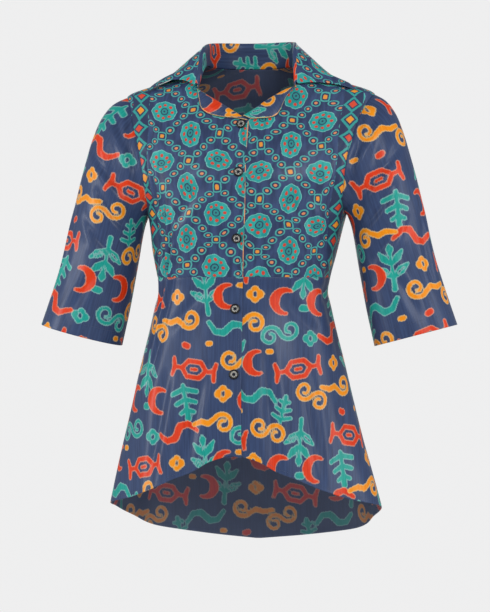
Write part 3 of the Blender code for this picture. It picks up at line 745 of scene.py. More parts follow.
scroll_cloth, thread, shader = material("scroll_cloth", CLOTH_ROUGHNESS, **GLOSS)
u, v, reverse = (thread.stored("flat").part(axis) for axis in "XYZ")
jitter = (thread.noise(u * 0.95, v * 0.11, detail=1.5) - 0.5) * 4.0
shade = thread.noise(u * 0.35, v * 0.02, 7.0, detail=2.0).above(0.1, 0.9)
painted = shade.paint(DEEP_NAVY, NAVY)
printed = thread.stored("print")
for axis, dark, bright, line in (
    ("Z", colour(4, 140, 132), colour(26, 170, 154), colour(146, 210, 200)),
    ("X", colour(206, 44, 4), colour(234, 64, 8), colour(240, 160, 122)),
    ("Y", colour(236, 130, 0), colour(250, 158, 2), colour(246, 208, 132)),
):
    depth = printed.part(axis) + jitter
    inside = depth.above(-0.2, 0.4)
    rim = depth.above(-1.3, -0.7) * depth.below(0.3, 0.9) * 0.55
    painted = inside.paint(painted, shade.paint(dark, bright))
    painted = rim.paint(painted, line)
painted = (reverse * REVERSE_FADE).paint(painted, colour(96, 104, 124))
painted.feed(shader, "Base Color")
weave(thread, shader, u, v)

BACK_STEP, BACK_WIDTH, BACK_PRINT = 3.4, 560.0, 20
left_angles, heights = side_line(1, BACK_SCOOP, BACK_STEP)
right_angles = 360 - left_angles
shares = cuts(BACK_WIDTH, BACK_STEP)
upper_angles = left_angles[:, None] + (right_angles - left_angles)[:, None] * shares
upper_heights = np.repeat(heights[:, None], len(shares), axis=1)
falls = cuts(WAIST - HEM[-1, 1], BACK_STEP)[1:, None]
lower_angles = np.repeat((90 + 180 * shares)[None], len(falls), axis=0)
lower_heights = WAIST + (hem_height(lower_angles) - WAIST) * falls
angles = np.concatenate([upper_angles, lower_angles])
levels = np.concatenate([upper_heights, lower_heights])
points, facing = body(angles, levels), body_normal(angles, levels)
along = run_length(points, 1)
flat_places = np.stack([along - along[:, -1:] / 2 + BACK_PRINT, laid_flat(angles, levels)], -1)
back = cloth("back_cloth", points, facing, flat_places, ("start", "end"), scroll_cloth, paints=scroll_print)
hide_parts("back")

# The lower fronts, cut across the same print, from the straight waist seam to the curved hem.
# The right one laps over the left one by 22 mm and both end in a turned front edge.
LAP, LAP_MARGIN, LAP_SLOPE_END = 11.0, 3.0, 32.0
LAP_DROP = 1.6
FOLD_TOP_X, FOLD_TOP = 78.0, -41.0
FOLD_FOOT = SHOULDER_POINT - ARMHOLE_DEPTH / 4
NECK_HALF_WIDTH = 70.0


def opening_angle(side, height):
    """Where a front ends: at the neckline, the fold line or the lapped front edge."""
    height = np.asarray(height, float)
    sway = level("sway", height)
    part = height / FOLD_TOP
    neck = side * (NECK_HALF_WIDTH + (FOLD_TOP_X - NECK_HALF_WIDTH) * part)
    below = np.clip((FOLD_TOP - height) / (FOLD_TOP - FOLD_FOOT), 0, 1)
    fold = side * (FOLD_TOP_X - (FOLD_TOP_X + LAP) * below)
    return angle_at(sway + np.where(height >= FOLD_TOP, neck, fold), height)


def front(side, angle, height):
    """Points and directions of one front; the left one sinks to pass under the right."""
    points, normals = body(angle, height), body_normal(angle, height)
    if side > 0:
        x = points[..., 0] - level("sway", height)
        sink = LAP_DROP * (1 - soft_step(x, LAP + LAP_MARGIN, LAP_SLOPE_END))
        points = points - normals * sink[..., None]
    return points, normals


FRONT_WIDE, FRONT_LONG, FRONT_STEP = 230.0, 310.0, 2.3
for side, label, place in ((-1, "right", (118, 60)), (1, "left", (70, 214))):
    shares = cuts(FRONT_WIDE, FRONT_STEP)
    waist_angles = opening_angle(side, WAIST) + (side * 90 - opening_angle(side, WAIST)) * shares
    falls = cuts(FRONT_LONG, FRONT_STEP)[:, None]
    levels = WAIST + (hem_height(waist_angles)[None] - WAIST) * falls
    edges = opening_angle(side, levels)
    angles = edges + (side * 90 - edges) * shares
    points, facing = front(side, angles, levels)
    flat_places = np.stack([side * (run_length(points, 1) - LAP), -levels], -1) + place
    name = f"front_{label}_lower"
    sides = ("top", "end")
    piece = cloth(name + "_cloth", points, facing, flat_places, sides, scroll_cloth, paints=scroll_print)
    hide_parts(name)

# The sleeves, set in round the armholes and sewn under the arm, ending in a narrow turned cuff
# above the elbow's bend. Drag lines run from the armhole towards the elbow.
# Each ring: x and height on top, x and height under the arm, half depth, place ahead
SLEEVE = np.array((
    (203, -49, 158, -236, 55, -8),
    (220, -59, 160, -239, 58, -8),
    (236, -80, 162, -244, 59, -8),
    (249, -112, 165, -252, 58, -8),
    (259, -146, 168, -263, 57, -8),
    (269, -182, 171, -278, 56, -8),
    (284, -245, 176, -308, 55, -8),
    (297, -302, 182, -342, 55, -9),
    (314, -357, 190.5, -388, 57.5, -10),
    (333, -413, 203.5, -447, 61, -11),
))
# Soft folds: place round the sleeve at top and foot, first and last ring, width and depth
SLEEVE_FOLDS = (
    (0.30, 0.62, 0.5, 4.5, 0.10, -4),
    (0.52, 0.80, 2, 7.5, 0.10, 3.5),
    (0.20, 0.42, 4, 9, 0.10, -3),
    (1.66, 1.40, 1, 6, 0.11, -4),
    (1.40, 1.22, 4, 9, 0.11, 3),
)
BLEND_RINGS = 4.0
# The flat sleeve is measured round its axis, plus forward, and along it from the shoulder
SLEEVE_AXIS, SLEEVE_OUT = (0.294, -0.956), (0.956, 0.294)
SLEEVE_MIDDLE, SLEEVE_START = 130.7, 106.5
SLEEVE_CREASES = (
    ((36, 26), (78, 60), (116, 104), 6, -3.8),
    ((58, 16), (96, 66), (128, 140), 5, -3),
    ((26, 86), (74, 126), (126, 156), 7, -3.8),
    ((64, 146), (96, 190), (140, 204), 6, -3.2),
    ((50, 190), (92, 236), (134, 252), 7, -3.4),
    ((16, 180), (38, 250), (46, 330), 8, -3.2),
    ((112, 250), (90, 300), (84, 366), 8, -2.8),
    ((-40, 40), (-84, 80), (-124, 130), 8, -2.8),
    ((-60, 100), (-96, 140), (-134, 166), 8, -2.4),
    ((-64, 190), (-96, 224), (-136, 240), 8, -2),
    ((-100, 250), (-84, 300), (-70, 350), 9, -2),
    ((-30, 150), (-24, 220), (-34, 290), 10, -1.6),
)


def sleeve_form(side, rings, turns):
    """The sleeve's plain form. A turn is 0 on top and half a circle under the arm."""
    outer_x, outer_z, inner_x, inner_z, half_depth, centre_y = (
        curve(range(len(SLEEVE)), SLEEVE[:, k], rings) for k in range(6)
    )
    cos, sin = np.cos(turns), np.sin(turns)
    x = (outer_x + inner_x) / 2 + (outer_x - inner_x) / 2 * cos
    z = (outer_z + inner_z) / 2 + (outer_z - inner_z) / 2 * cos
    y = centre_y - half_depth * sin
    push = np.zeros(np.shape(x))
    for round_top, round_foot, ring_top, ring_foot, width, depth in SLEEVE_FOLDS:
        part = np.clip((rings - ring_top) / (ring_foot - ring_top), 0, 1)
        middle = round_top + part * (round_foot - round_top)
        away = (turns / math.pi - middle + 1) % 2 - 1
        push += depth * np.sin(math.pi * part) ** 2 * bell(away, width)
    points = np.stack([x, y, z], -1)
    centre = np.stack([(outer_x + inner_x) / 2, np.zeros(np.shape(x)), (outer_z + inner_z) / 2], -1)
    points = points + push[..., None] * unit(points - centre)
    return points * (side, 1, 1)


def grid_facing(points):
    return unit(np.cross(np.gradient(points, axis=0), np.gradient(points, axis=1)))


SLEEVE_ROUND, SLEEVE_LONG, SLEEVE_STEP = 390.0, 400.0, 2.7
# The print is laid on as round an oval arm: its mean radius, half width, half depth and place
ARM_RADIUS, ARM_HALF_WIDTH, ARM_HALF_DEPTH, ARM_AHEAD = 62.5, 68, 57, -9
ARM_ROUND = 2 * math.pi * ARM_RADIUS
CREASED_ROUND, SEAM_EASE, TOP_EASE = 196, 20, 14
for side, label, place in ((-1, "right", (70, 40)), (1, "left", (190, 150))):
    shares = cuts(SLEEVE_ROUND, SLEEVE_STEP)
    rings = cuts(SLEEVE_LONG, SLEEVE_STEP)[:, None] * (len(SLEEVE) - 1)
    behind = shares < 0.5
    holes = np.where(behind, 1 - 2 * shares, 2 * shares - 1)
    rear_angle, rear_height = armhole(side, holes, -BACK_SCOOP)
    fore_angle, fore_height = armhole(side, holes, FRONT_SCOOP)
    hole = body(np.where(behind, rear_angle, fore_angle), np.where(behind, rear_height, fore_height))
    turns = np.where(behind, 2 * math.pi - math.pi * holes, math.pi * holes)
    plain = sleeve_form(side, rings + 0 * turns, turns + 0 * rings)
    blend = np.clip(1 - rings / BLEND_RINGS, 0, None) ** 2
    points = plain + blend[..., None] * (hole - sleeve_form(side, 0 * turns, turns))
    out = side * points[..., 0] * SLEEVE_OUT[0] + points[..., 2] * SLEEVE_OUT[1] - SLEEVE_MIDDLE
    down = side * points[..., 0] * SLEEVE_AXIS[0] + points[..., 2] * SLEEVE_AXIS[1] - SLEEVE_START
    forward = ARM_AHEAD - points[..., 1]
    across = ARM_RADIUS * np.arctan2(forward / ARM_HALF_DEPTH, out / ARM_HALF_WIDTH)
    across[:, :2] -= ARM_ROUND * (across[:, :2] > 0)
    across[:, -2:] += ARM_ROUND * (across[:, -2:] < 0)
    facing = grid_facing(points)
    centre = points.mean(axis=1, keepdims=True)
    if np.mean(np.sum(facing * (points - centre), axis=-1)) < 0:
        facing = -facing
    seam_facing = unit(facing[:, 0] + facing[:, -1])
    facing[:, 0], facing[:, -1] = seam_facing, seam_facing
    ease = soft_step(rings * SLEEVE_LONG / (len(SLEEVE) - 1), 0, TOP_EASE)
    ease = ease * soft_step(CREASED_ROUND - np.abs(across), 0, SEAM_EASE)
    push = sum(crease(across, down, line) for line in SLEEVE_CREASES)
    points = points + facing * (push * ease)[..., None]
    flat_places = np.stack([side * across, down], -1) + place
    name = f"sleeve_{label}"
    sides = ("top", "start", "end")
    piece = cloth(name + "_cloth", points, facing, flat_places, sides, scroll_cloth, paints=scroll_print)
    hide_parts(name)

# The upper fronts, cut from the second print: navy with teal rosettes, each with a ring of red
# dots, chains of small ringed dots between them, and a border of linked diamonds at the side.
ROSETTE_ACROSS, ROSETTE_DOWN, ROSETTE_RADIUS = 47.0, 82.0, 20.5
RING_RADIUS, RING_DOTS = 12.6, 8
BORDER_CENTRE, BORDER_HALF = 139.0, 16.0
BORDER_PITCH = 27.0
FRONT_EDGE = 44.0

medallion_cloth, thread, shader = material("medallion_cloth", CLOTH_ROUGHNESS, **GLOSS)
plain_u, plain_v, reverse = (thread.stored("flat").part(axis) for axis in "XYZ")
wander = thread.noise(plain_u * 0.022, plain_v * 0.022, output="Color")
u = plain_u + (wander.part("X") - 0.5) * 14.0
v = plain_v + (wander.part("Y") - 0.5) * 18.0
jitter = (thread.noise(plain_u * 0.8, plain_v * 0.3) - 0.5) * 2.6
shade = thread.noise(u * 0.12, v * 0.03, 3.0, detail=2.0).above(0.3, 0.7)
column = u.rounded(ROSETTE_ACROSS)
across = u - column * ROSETTE_ACROSS
upright = column.odd()
shifted = v + upright * (ROSETTE_DOWN / 2)
down = shifted - shifted.rounded(ROSETTE_DOWN) * ROSETTE_DOWN
wide, tall = across * (1 + upright * 0.2), down * (1.2 - upright * 0.2)
round_it = tall.math("ARCTAN2", wide)
far = wide.far(tall)
scallop = (round_it * RING_DOTS).math("COSINE") * 0.7
rosette = ROSETTE_RADIUS - far + scallop + jitter
dot_turn = 2 * math.pi / RING_DOTS
spin = round_it - round_it.rounded(dot_turn) * dot_turn
dot_gap = (far * spin.math("COSINE") - RING_RADIUS).far(far * spin.math("SINE"))
corner, lift = abs(across), abs(down)
low = lift - ROSETTE_DOWN / 2
big = corner.math("MAXIMUM", abs(low)) * 0.6 + corner.far(low) * 0.4
near_dot = ((corner - ROSETTE_ACROSS * 0.27) * 0.88).far((lift - ROSETTE_DOWN * 0.375) * 1.15)
side_dot = ((corner - ROSETTE_ACROSS / 2) * 0.88).far((lift - ROSETTE_DOWN / 4) * 1.15)
chain = near_dot.math("MINIMUM", side_dot)
teal = shade.paint(colour(26, 140, 140), colour(52, 172, 164))
pale_teal, ring_teal = colour(116, 198, 190), colour(76, 166, 162)
painted = shade.paint(DEEP_NAVY, NAVY)
for mask, tint in (
    (rosette.above(-0.6, 0.6), pale_teal),
    (rosette.above(0.6, 1.6), teal),
    ((dot_gap + jitter * 0.4).below(2.2, 3.0), colour(208, 66, 50)),
    ((far + jitter).below(6.0, 6.8), colour(40, 66, 92)),
    ((far + jitter).below(4.2, 5.0), colour(46, 140, 142)),
    ((far + jitter * 0.5).below(1.2, 2.0), colour(40, 66, 92)),
    ((big + jitter * 0.5).below(7.4, 8.2), ring_teal),
    ((big + jitter * 0.5).below(5.2, 6.0), DEEP_NAVY),
    ((big + jitter * 0.5).below(2.9, 3.7), colour(232, 150, 60)),
    ((chain + jitter * 0.5).below(6.0, 6.8), ring_teal),
    ((chain + jitter * 0.5).below(4.1, 4.9), DEEP_NAVY),
    ((chain + jitter * 0.4).below(1.9, 2.7), colour(222, 140, 96)),
):
    painted = mask.paint(painted, tint)
aside = abs(plain_u + (u - plain_u) * 0.4) - BORDER_CENTRE
lozenge = v.rounded(BORDER_PITCH)
slide = v - lozenge * BORDER_PITCH
band = abs(aside)
link = band * 0.78 + abs(slide) * 0.9
heart = lozenge.odd().paint(colour(214, 72, 46), colour(238, 154, 44))
for mask, tint in (
    (band.below(BORDER_HALF, BORDER_HALF + 1), DEEP_NAVY),
    ((link + jitter).above(8.0, 8.8) * (link + jitter).below(12.4, 13.2), colour(50, 154, 150)),
    ((link + jitter * 0.6).below(5.2, 6.0), heart),
):
    within = band.below(BORDER_HALF + 1.6, BORDER_HALF + 2.0)
    painted = (mask * within).paint(painted, tint)
edging = plain_u.above(FRONT_EDGE - 1.2, FRONT_EDGE - 0.7)
edging = edging * plain_u.below(FRONT_EDGE + 2, FRONT_EDGE + 3)
painted = (edging * shade.above(0.2, 0.8)).paint(painted, colour(232, 160, 110))
painted = (reverse * REVERSE_FADE).paint(painted, colour(96, 110, 124))
painted.feed(shader, "Base Color")
weave(thread, shader, plain_u, plain_v)

UPPER_WIDE, UPPER_STEP = 215.0, 2.6
for side, label, raised in ((-1, "right", 158), (1, "left", 177)):
    side_angles, heights = side_line(side, FRONT_SCOOP, UPPER_STEP)
    heights = heights[:, None]
    shares = cuts(UPPER_WIDE, UPPER_STEP)
    edges = opening_angle(side, heights)
    angles = edges + (side_angles[:, None] - edges) * shares
    levels = heights + 0 * angles
    points, facing = front(side, angles, levels)
    past_centre = side * (points[:, :1, 0] - level("sway", heights))
    reach = run_length(points, 1) + past_centre
    flat_places = np.stack([FRONT_EDGE - LAP - reach, laid_flat(angles, levels) - raised], -1)
    name = f"front_{label}_upper"
    piece = cloth(name + "_cloth", points, facing, flat_places, ("foot", "end"), medallion_cloth)
    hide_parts(name)

# The collar, a convertible one cut in one piece: a stand that rises from the neckline, a soft
# roll, and a leaf that falls from it, longer and pointed in front, with an edge row of stitches.
# Station: stand, forward, lean, edge angle, edge height, edge lift, right and left bulge
COLLAR = (
    (8, 1, 0, 51, -46, 4, 13, 5),
    (14, 0.7, 0, 58, -37, 4, 9, 5),
    (21, 0.4, 0, 65, -31, 1.4, 5, 4.5),
    (28, 0.2, 0, 74, -26, 0.9, 3, 3),
    (33, 0, 0, 90, -20, 0.9, 2, 2),
    (37, 0, 1, 108, -16, 1.8, 2.5, 2.5),
    (39, 0, 2, 126, -13, 3, 3, 3),
    (40, 0, 3, 144, -11, 3, 3, 3),
    (40, 0, 4, 162, -10, 3, 3, 3),
    (40, 0, 4, 180, -10, 3, 3, 3),
)
LEFT_TIP_SPREAD = (6.0, 4.0, 2.0, 1.0, 0, 0, 0, 0, 0, 0)
NECK_HEIGHTS = (-41.0, -30.5, -20.0, -10.0, 0.0)
COLLAR_CLOTH, ROLL_RADIUS, STAND_CLEARANCE = 1.2, 2.4, 0.9
FLAT_COLLAR_WALL = 1.5


def collar_half(side):
    """Profiles of one half of the collar: up the stand, over the roll and down the leaf."""
    places = [(float(opening_angle(side, height)), height) for height in NECK_HEIGHTS]
    places += [(side * angle, 0.0) for angle in np.linspace(90, 180, 6)[1:]]
    necks = np.array([body(*place) for place in places])
    alongs = np.gradient(necks, axis=0)
    alongs[-1] = (-side, 0, 0)
    up = np.array((0, 0, 1.0))
    profiles = []
    for station, place, neck, along, spread in zip(COLLAR, places, necks, alongs, LEFT_TIP_SPREAD):
        stand, forward, lean, edge_angle, edge_height, edge_lift, right_bulge, left_bulge = station
        rise = unit(up + body_normal(*place) * forward)
        inward = unit(np.cross(rise, along))
        if np.dot(inward[:2], neck[:2]) > 0:
            inward = -inward
        foot = neck + rise * STAND_CLEARANCE + inward * FLAT_COLLAR_WALL
        roll = neck + rise * stand + inward * (lean + FLAT_COLLAR_WALL)
        edge_turn = side * (edge_angle + (spread if side > 0 else 0))
        clear = body_normal(edge_turn, edge_height) * (edge_lift + FLAT_COLLAR_WALL)
        edge = body(edge_turn, edge_height) + clear
        profile = [foot, (foot + roll) / 2]
        for turn in np.radians((0, 60, 120, 180)):
            profile.append(roll + (inward * (math.cos(turn) - 1) + rise * math.sin(turn)) * ROLL_RADIUS)
        start = profile[-1]
        top = (start + edge) / 2 + up * (left_bulge if side > 0 else right_bulge) * 2
        for part in np.linspace(0, 1, 7)[1:]:
            profile.append(start * (1 - part) ** 2 + top * 2 * part * (1 - part) + edge * part**2)
        profiles.append(profile)
    return profiles


def resampled(points, axis, shares):
    """A grid drawn finer along one axis, on smooth curves through its points."""
    points = np.moveaxis(points, axis, 0)
    steps = np.linalg.norm(np.diff(points, axis=0), axis=-1).mean(axis=1)
    places = np.concatenate([[0], np.cumsum(steps)])
    at = shares * places[-1]
    i = np.clip(np.searchsorted(places, at, side="right") - 1, 0, len(steps) - 1)
    slopes = np.gradient(points, places, axis=0)
    span = steps[i][:, None, None]
    t = ((at - places[i]) / steps[i])[:, None, None]
    start = (1 + 2 * t) * (1 - t) ** 2 * points[i] + t * (1 - t) ** 2 * span * slopes[i]
    end = t * t * (3 - 2 * t) * points[i + 1] + t * t * (t - 1) * span * slopes[i + 1]
    return np.moveaxis(start + end, 0, axis)


COLLAR_LONG, COLLAR_LONG_STEP = 500.0, 2.6
COLLAR_WIDE, COLLAR_WIDE_STEP = 100.0, 2.4
LEAF_PRINT, LINED_SHARE = 75, 0.36
grid = np.array(collar_half(-1) + collar_half(1)[-2::-1])
grid = resampled(grid, 0, cuts(COLLAR_LONG, COLLAR_LONG_STEP))
grid = resampled(grid, 1, cuts(COLLAR_WIDE, COLLAR_WIDE_STEP))
facing = grid_facing(grid)
along, wide = run_length(grid, 0), run_length(grid, 1)
flat_places = np.stack([wide - LEAF_PRINT, along - along[-1:] / 2], -1)
collar = cloth(
    "collar_cloth", grid, facing, flat_places, ("start",), medallion_cloth,
    wall=COLLAR_CLOTH, paints=scroll_print, lining=(scroll_cloth, int(grid.shape[1] * LINED_SHARE)),
)
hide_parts("collar")

# The facings of the fronts, turned out along the fold line below the collar, so that their
# other print shows as two small lapels. Each rolls over its fold and lifts off the front.
# Turning: share along, then fold line and free edge as x and height
RIGHT_LAPEL = np.array((
    (0, -78, -42, -77, -43.5),
    (0.15, -65, -50, -72.5, -58),
    (0.32, -50, -58.5, -66, -74),
    (0.50, -34.5, -67.5, -52, -84),
    (0.68, -18.5, -77, -34, -89),
    (0.86, -3, -86.5, -12, -91.5),
    (1, 9, -94, 8, -95.2),
))
LEFT_LAPEL = np.array((
    (0, 79, -40, 74, -44.5),
    (0.18, 65, -44, 64, -60),
    (0.36, 50, -52.5, 58.5, -80),
    (0.46, 42.5, -57.5, 54, -87.5),
    (0.60, 32, -65, 44, -91.5),
    (0.80, 17, -76.5, 29, -92.5),
    (1, 1.5, -86.6, 14.5, -92.5),
))
LAPEL_GAP, LAPEL_LIFT, LAPEL_ROLL, FOLD_ROUND = 1.0, 2.6, 3.5, 5.0
LAPEL_LONG, LAPEL_WIDE = 130.0, 30.0

for side, label, table, place in (
    (-1, "right", RIGHT_LAPEL, (180, 60)),
    (1, "left", LEFT_LAPEL, (92, 20)),
):
    shares = cuts(LAPEL_LONG, 1.6, (0.6, 1.4))[:, None]
    fold_x, fold_z, free_x, free_z = (curve(table[:, 0], table[:, k], shares) for k in range(1, 5))
    across = cuts(LAPEL_WIDE, 1.0, (0.4, 0.9))
    x, height = fold_x + (free_x - fold_x) * across, fold_z + (free_z - fold_z) * across
    width = np.hypot(free_x - fold_x, free_z - fold_z)
    points, facing = front(side, angle_at(level("sway", height) + x, height), height)
    turned = np.clip(across * width / FOLD_ROUND, 0, 1)
    rolled = np.sqrt(1 - (1 - turned) ** 2)
    roll = LAPEL_ROLL * np.sin(math.pi * across) * np.sin(math.pi * shares)
    lift = LAPEL_GAP + LAPEL_LIFT * rolled + roll
    grid = points + facing * lift[..., None]
    facing = grid_facing(grid)
    facing = -facing if np.mean(facing[..., 1]) > 0 else facing
    flat_places = np.stack([side * run_length(grid, 0), run_length(grid, 1)], -1) + place
    name = f"lapel_{label}"
    piece = cloth(
        name + "_cloth", grid, facing, flat_places, (), scroll_cloth, paints=scroll_print, bound=ORANGE,
    )
    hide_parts(name)

# Five turned buttons of black plastic, 16 mm across, with a raised glossy rim, a pale mottled
# ring, and four holes sewn through with navy thread.
BUTTON_HEIGHTS = (-101.0, -177.5, -279.0, -388.5, -490.0)
BUTTON_SEAT, BUTTON_SIDES = 0.7, 48
FACE_HEIGHT, FACE_RINGS, FACE_STEP = 1.70, 15, 0.3
HOLE_PLACE, HOLE_DEEP, HOLE_WALL = 1.9, 0.9, (0.6, 0.95)
HOLE_ASIDE = HOLE_PLACE * 0.7071
FLECK_APART = 5.0
# The turned rim, from the face outward and under: radius and height
RIM_PROFILE = (
    (4.6, FACE_HEIGHT), (4.9, 1.78), (5.2, 2.05), (5.6, 2.38), (6.1, 2.56), (6.6, 2.60),
    (7.0, 2.52), (7.4, 2.26), (7.65, 1.90), (7.8, 1.45), (7.72, 1.05), (7.4, 0.60), (6.9, 0.25),
    (6.2, 0.0), (3.0, 0.0),
)

button_plastic, thread, shader = material("button_plastic", 0.24, Specular_IOR_Level=0.4)
x, y, number = (thread.stored("turned").part(axis) for axis in "XYZ")
far = x.far(y)
fleck = thread.noise(x * 0.75, y * 0.75, number, detail=2.0, Roughness=0.6)
ring = far.above(2.5, 2.9) * far.below(4.9, 5.3)
painted = (ring * fleck.above(0.42, 0.54)).paint(colour(14, 14, 17), colour(196, 194, 186))
# The four holes are painted near black, darker than the plastic: painted shade in the recesses.
shaded_hole_gap = (abs(x) - HOLE_ASIDE).far(abs(y) - HOLE_ASIDE)
painted = shaded_hole_gap.below(*HOLE_WALL).paint(painted, colour(4, 4, 5))
painted.feed(shader, "Base Color")

sewing_thread, thread, shader = material("sewing_thread", 0.55, Sheen_Weight=0.2)
spot = thread.node("TexCoord", {}, {}, "Object")
twist = thread.node("TexNoise", {}, {"Vector": spot, "Scale": 900.0, "Detail": 1.0}, "Fac")
painted = twist.above(0.35, 0.65).paint(colour(40, 50, 74), colour(70, 84, 112))
painted.feed(shader, "Base Color")


def button_seat(height):
    """The place of a button on the right front, and the turn that faces it outward."""
    sway = float(level("sway", height))
    angle = float(angle_at(sway, height))
    normal = Vector(body_normal(angle, height))
    seat = Vector(body(angle, height)) + normal * BUTTON_SEAT
    return seat, normal.to_track_quat("Z", "Y").to_matrix()


around = np.linspace(0, 2 * math.pi, BUTTON_SIDES, endpoint=False)
for number, height in enumerate(BUTTON_HEIGHTS, start=1):
    face = [(ring * FACE_STEP, FACE_HEIGHT) for ring in range(1, FACE_RINGS + 1)]
    radii, rises = np.array((*face, *RIM_PROFILE)).T
    x = radii[:, None] * np.cos(around)
    y = radii[:, None] * np.sin(around)
    z = rises[:, None] + 0 * x
    hole_gap = np.hypot(np.abs(x) - HOLE_ASIDE, np.abs(y) - HOLE_ASIDE)
    z = z - HOLE_DEEP * (1 - soft_step(hole_gap, *HOLE_WALL))
    rings = np.stack([x, y, z], -1).reshape(-1, 3)
    local = np.concatenate([[(0, 0, FACE_HEIGHT)], rings, [(0, 0, 0)]])
    faces, last = [], 1 + (len(radii) - 1) * BUTTON_SIDES
    for j in range(BUTTON_SIDES):
        after = (j + 1) % BUTTON_SIDES
        faces.append((0, 1 + j, 1 + after))
        for first in range(1, last, BUTTON_SIDES):
            a, b = first + j, first + after
            faces.append((a, a + BUTTON_SIDES, b + BUTTON_SIDES, b))
        faces.append((last + j, len(local) - 1, last + after))
    seat, turn = button_seat(height)
    mesh = bpy.data.meshes.new(f"button_{number}_turned")
    mesh.from_pydata([(turn @ Vector(point) + seat) * MM for point in local], [], faces)
    store(mesh, "turned", np.column_stack([local[:, :2], np.full(len(local), number * FLECK_APART)]))
    closed(mesh)
    mesh.materials.append(button_plastic)
    piece = added(f"button_{number}_turned", mesh)
    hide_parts(f"button_{number}")

# The thread of the buttons, two strands over the face of each one, drawn into its holes.
THREAD_THICK, THREAD_REACH, THREAD_HEIGHT, THREAD_BEND = 0.34, 1.9, 1.62, 0.5
strands = bmesh.new()
for height in BUTTON_HEIGHTS:
    seat, turn = button_seat(height)
    for side in (-1, 1):
        ball = bmesh.ops.create_uvsphere(strands, u_segments=10, v_segments=8, radius=1)
        for vertex in ball["verts"]:
            x, y, z = vertex.co
            aside = side * HOLE_ASIDE + y * THREAD_THICK
            rise = THREAD_HEIGHT + z * THREAD_THICK - x * x * THREAD_BEND
            vertex.co = (turn @ Vector((x * THREAD_REACH, aside, rise)) + seat) * MM
strands_mesh = bpy.data.meshes.new("button_threads")
strands.to_mesh(strands_mesh)
strands.free()
strands_mesh.shade_smooth()
strands_mesh.materials.append(sewing_thread)
button_threads = added("button_threads", strands_mesh)

# The sewing that shows: rows of navy thread along the hems, the cuffs, the front edge, the
# collar, the turned facings and the waist seam, each stitch a short round length of thread.
STITCH_LENGTH, STITCH_SPACING, STITCH_THICK, STITCH_LIFT = 2.0, 2.7, 0.36, 0.3
# Each row: the piece, the side of its grid that it follows, and how far in it lies
SEWN_ROWS = (
    ("back_cloth", "foot", 6),
    ("front_right_lower_cloth", "foot", 6),
    ("front_left_lower_cloth", "foot", 6),
    ("front_right_lower_cloth", "top", 1.8),
    ("front_left_lower_cloth", "top", 1.8),
    ("front_right_lower_cloth", "start", 5),
    ("front_right_upper_cloth", "start", 5),
    ("sleeve_right_cloth", "foot", 20),
    ("sleeve_left_cloth", "foot", 20),
    ("collar_cloth", "end", 5),
    ("collar_cloth", "top", 5),
    ("collar_cloth", "foot", 5),
    ("lapel_right_cloth", "end", 4),
    ("lapel_left_cloth", "end", 4),
)


def stitch_row(name, side, inset):
    """A line on a piece's face at a steady distance from one of its sides."""
    points, normals = surfaces[name]
    if side in ("start", "end"):
        points, normals = points.swapaxes(0, 1), normals.swapaxes(0, 1)
    if side in ("foot", "end"):
        points, normals = points[::-1], normals[::-1]
    gaps = run_length(points, 0)
    after = np.argmax(gaps >= inset, axis=0)
    line = np.arange(points.shape[1])
    low, high = gaps[after - 1, line], gaps[after, line]
    share = ((inset - low) / np.maximum(high - low, 1e-9))[:, None]
    kept = after > 0
    place = points[after - 1, line] * (1 - share) + points[after, line] * share
    lifted = place + normals[after, line] * STITCH_THICK * STITCH_LIFT
    return lifted[kept]


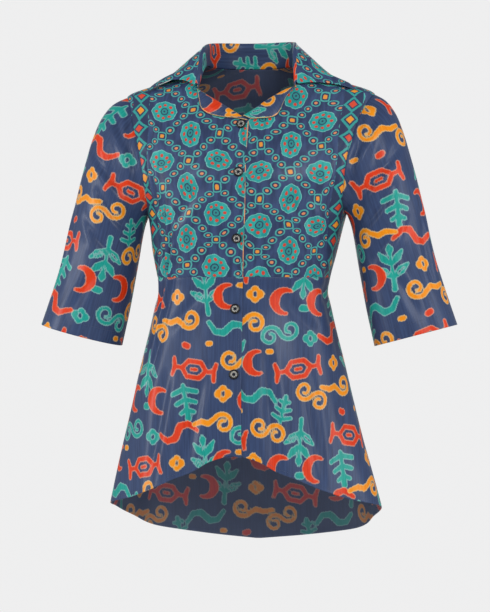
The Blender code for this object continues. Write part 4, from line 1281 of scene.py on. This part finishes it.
tree = bpy.data.node_groups.new("stitches", "GeometryNodeTree")
tree.interface.new_socket("Geometry", in_out="INPUT", socket_type="NodeSocketGeometry")
for label in ("Stitch length", "Stitch spacing", "Thread thickness"):
    tree.interface.new_socket(label, in_out="INPUT", socket_type="NodeSocketFloat")
tree.interface.new_socket("Geometry", in_out="OUTPUT", socket_type="NodeSocketGeometry")
given, result, to_curve, spaced, placed, stitch, size, tangent, aligned, realised, smoothed, threaded = (
    tree.nodes.new(kind) for kind in (
        "NodeGroupInput", "NodeGroupOutput", "GeometryNodeMeshToCurve", "GeometryNodeResampleCurve",
        "GeometryNodeInstanceOnPoints", "GeometryNodeMeshUVSphere", "ShaderNodeCombineXYZ",
        "GeometryNodeInputTangent", "FunctionNodeAlignRotationToVector",
        "GeometryNodeRealizeInstances", "GeometryNodeSetShadeSmooth", "GeometryNodeSetMaterial",
    )
)
spaced.mode = "LENGTH"
aligned.axis = "Z"
stitch.inputs["Segments"].default_value = 6
stitch.inputs["Rings"].default_value = 4
stitch.inputs["Radius"].default_value = 0.5
threaded.inputs["Material"].default_value = sewing_thread
for source, outlet, target, inlet in (
    (given, "Geometry", to_curve, "Mesh"),
    (to_curve, "Curve", spaced, "Curve"),
    (given, "Stitch spacing", spaced, "Length"),
    (spaced, "Curve", placed, "Points"),
    (stitch, "Mesh", placed, "Instance"),
    (tangent, "Tangent", aligned, "Vector"),
    (aligned, "Rotation", placed, "Rotation"),
    (given, "Thread thickness", size, "X"),
    (given, "Thread thickness", size, "Y"),
    (given, "Stitch length", size, "Z"),
    (size, "Vector", placed, "Scale"),
    (placed, "Instances", realised, "Geometry"),
    (realised, "Geometry", smoothed, "Geometry"),
    (smoothed, "Geometry", threaded, "Geometry"),
    (threaded, "Geometry", result, "Geometry"),
):
    tree.links.new(source.outputs[outlet], target.inputs[inlet])

corners, edges = [], []
for name, side, inset in SEWN_ROWS:
    row = stitch_row(name, side, inset) * MM
    edges += [(len(corners) + k, len(corners) + k + 1) for k in range(len(row) - 1)]
    corners += row.tolist()
rows_mesh = bpy.data.meshes.new("sewn_rows")
rows_mesh.from_pydata(corners, edges, [])
rows = bpy.data.objects.new("sewn_rows", rows_mesh)
scene.collection.objects.link(rows)
sewn = rows.modifiers.new("Stitches", "NODES")
sewn.node_group = tree
for item, value in zip(tree.interface.items_tree[2:], (STITCH_LENGTH, STITCH_SPACING, STITCH_THICK)):
    sewn[item.identifier] = value * MM
made = bpy.data.meshes.new_from_object(rows.evaluated_get(bpy.context.evaluated_depsgraph_get()))
rows.modifiers.remove(sewn)
bpy.data.objects.remove(rows)
sewing = added("sewing", made)
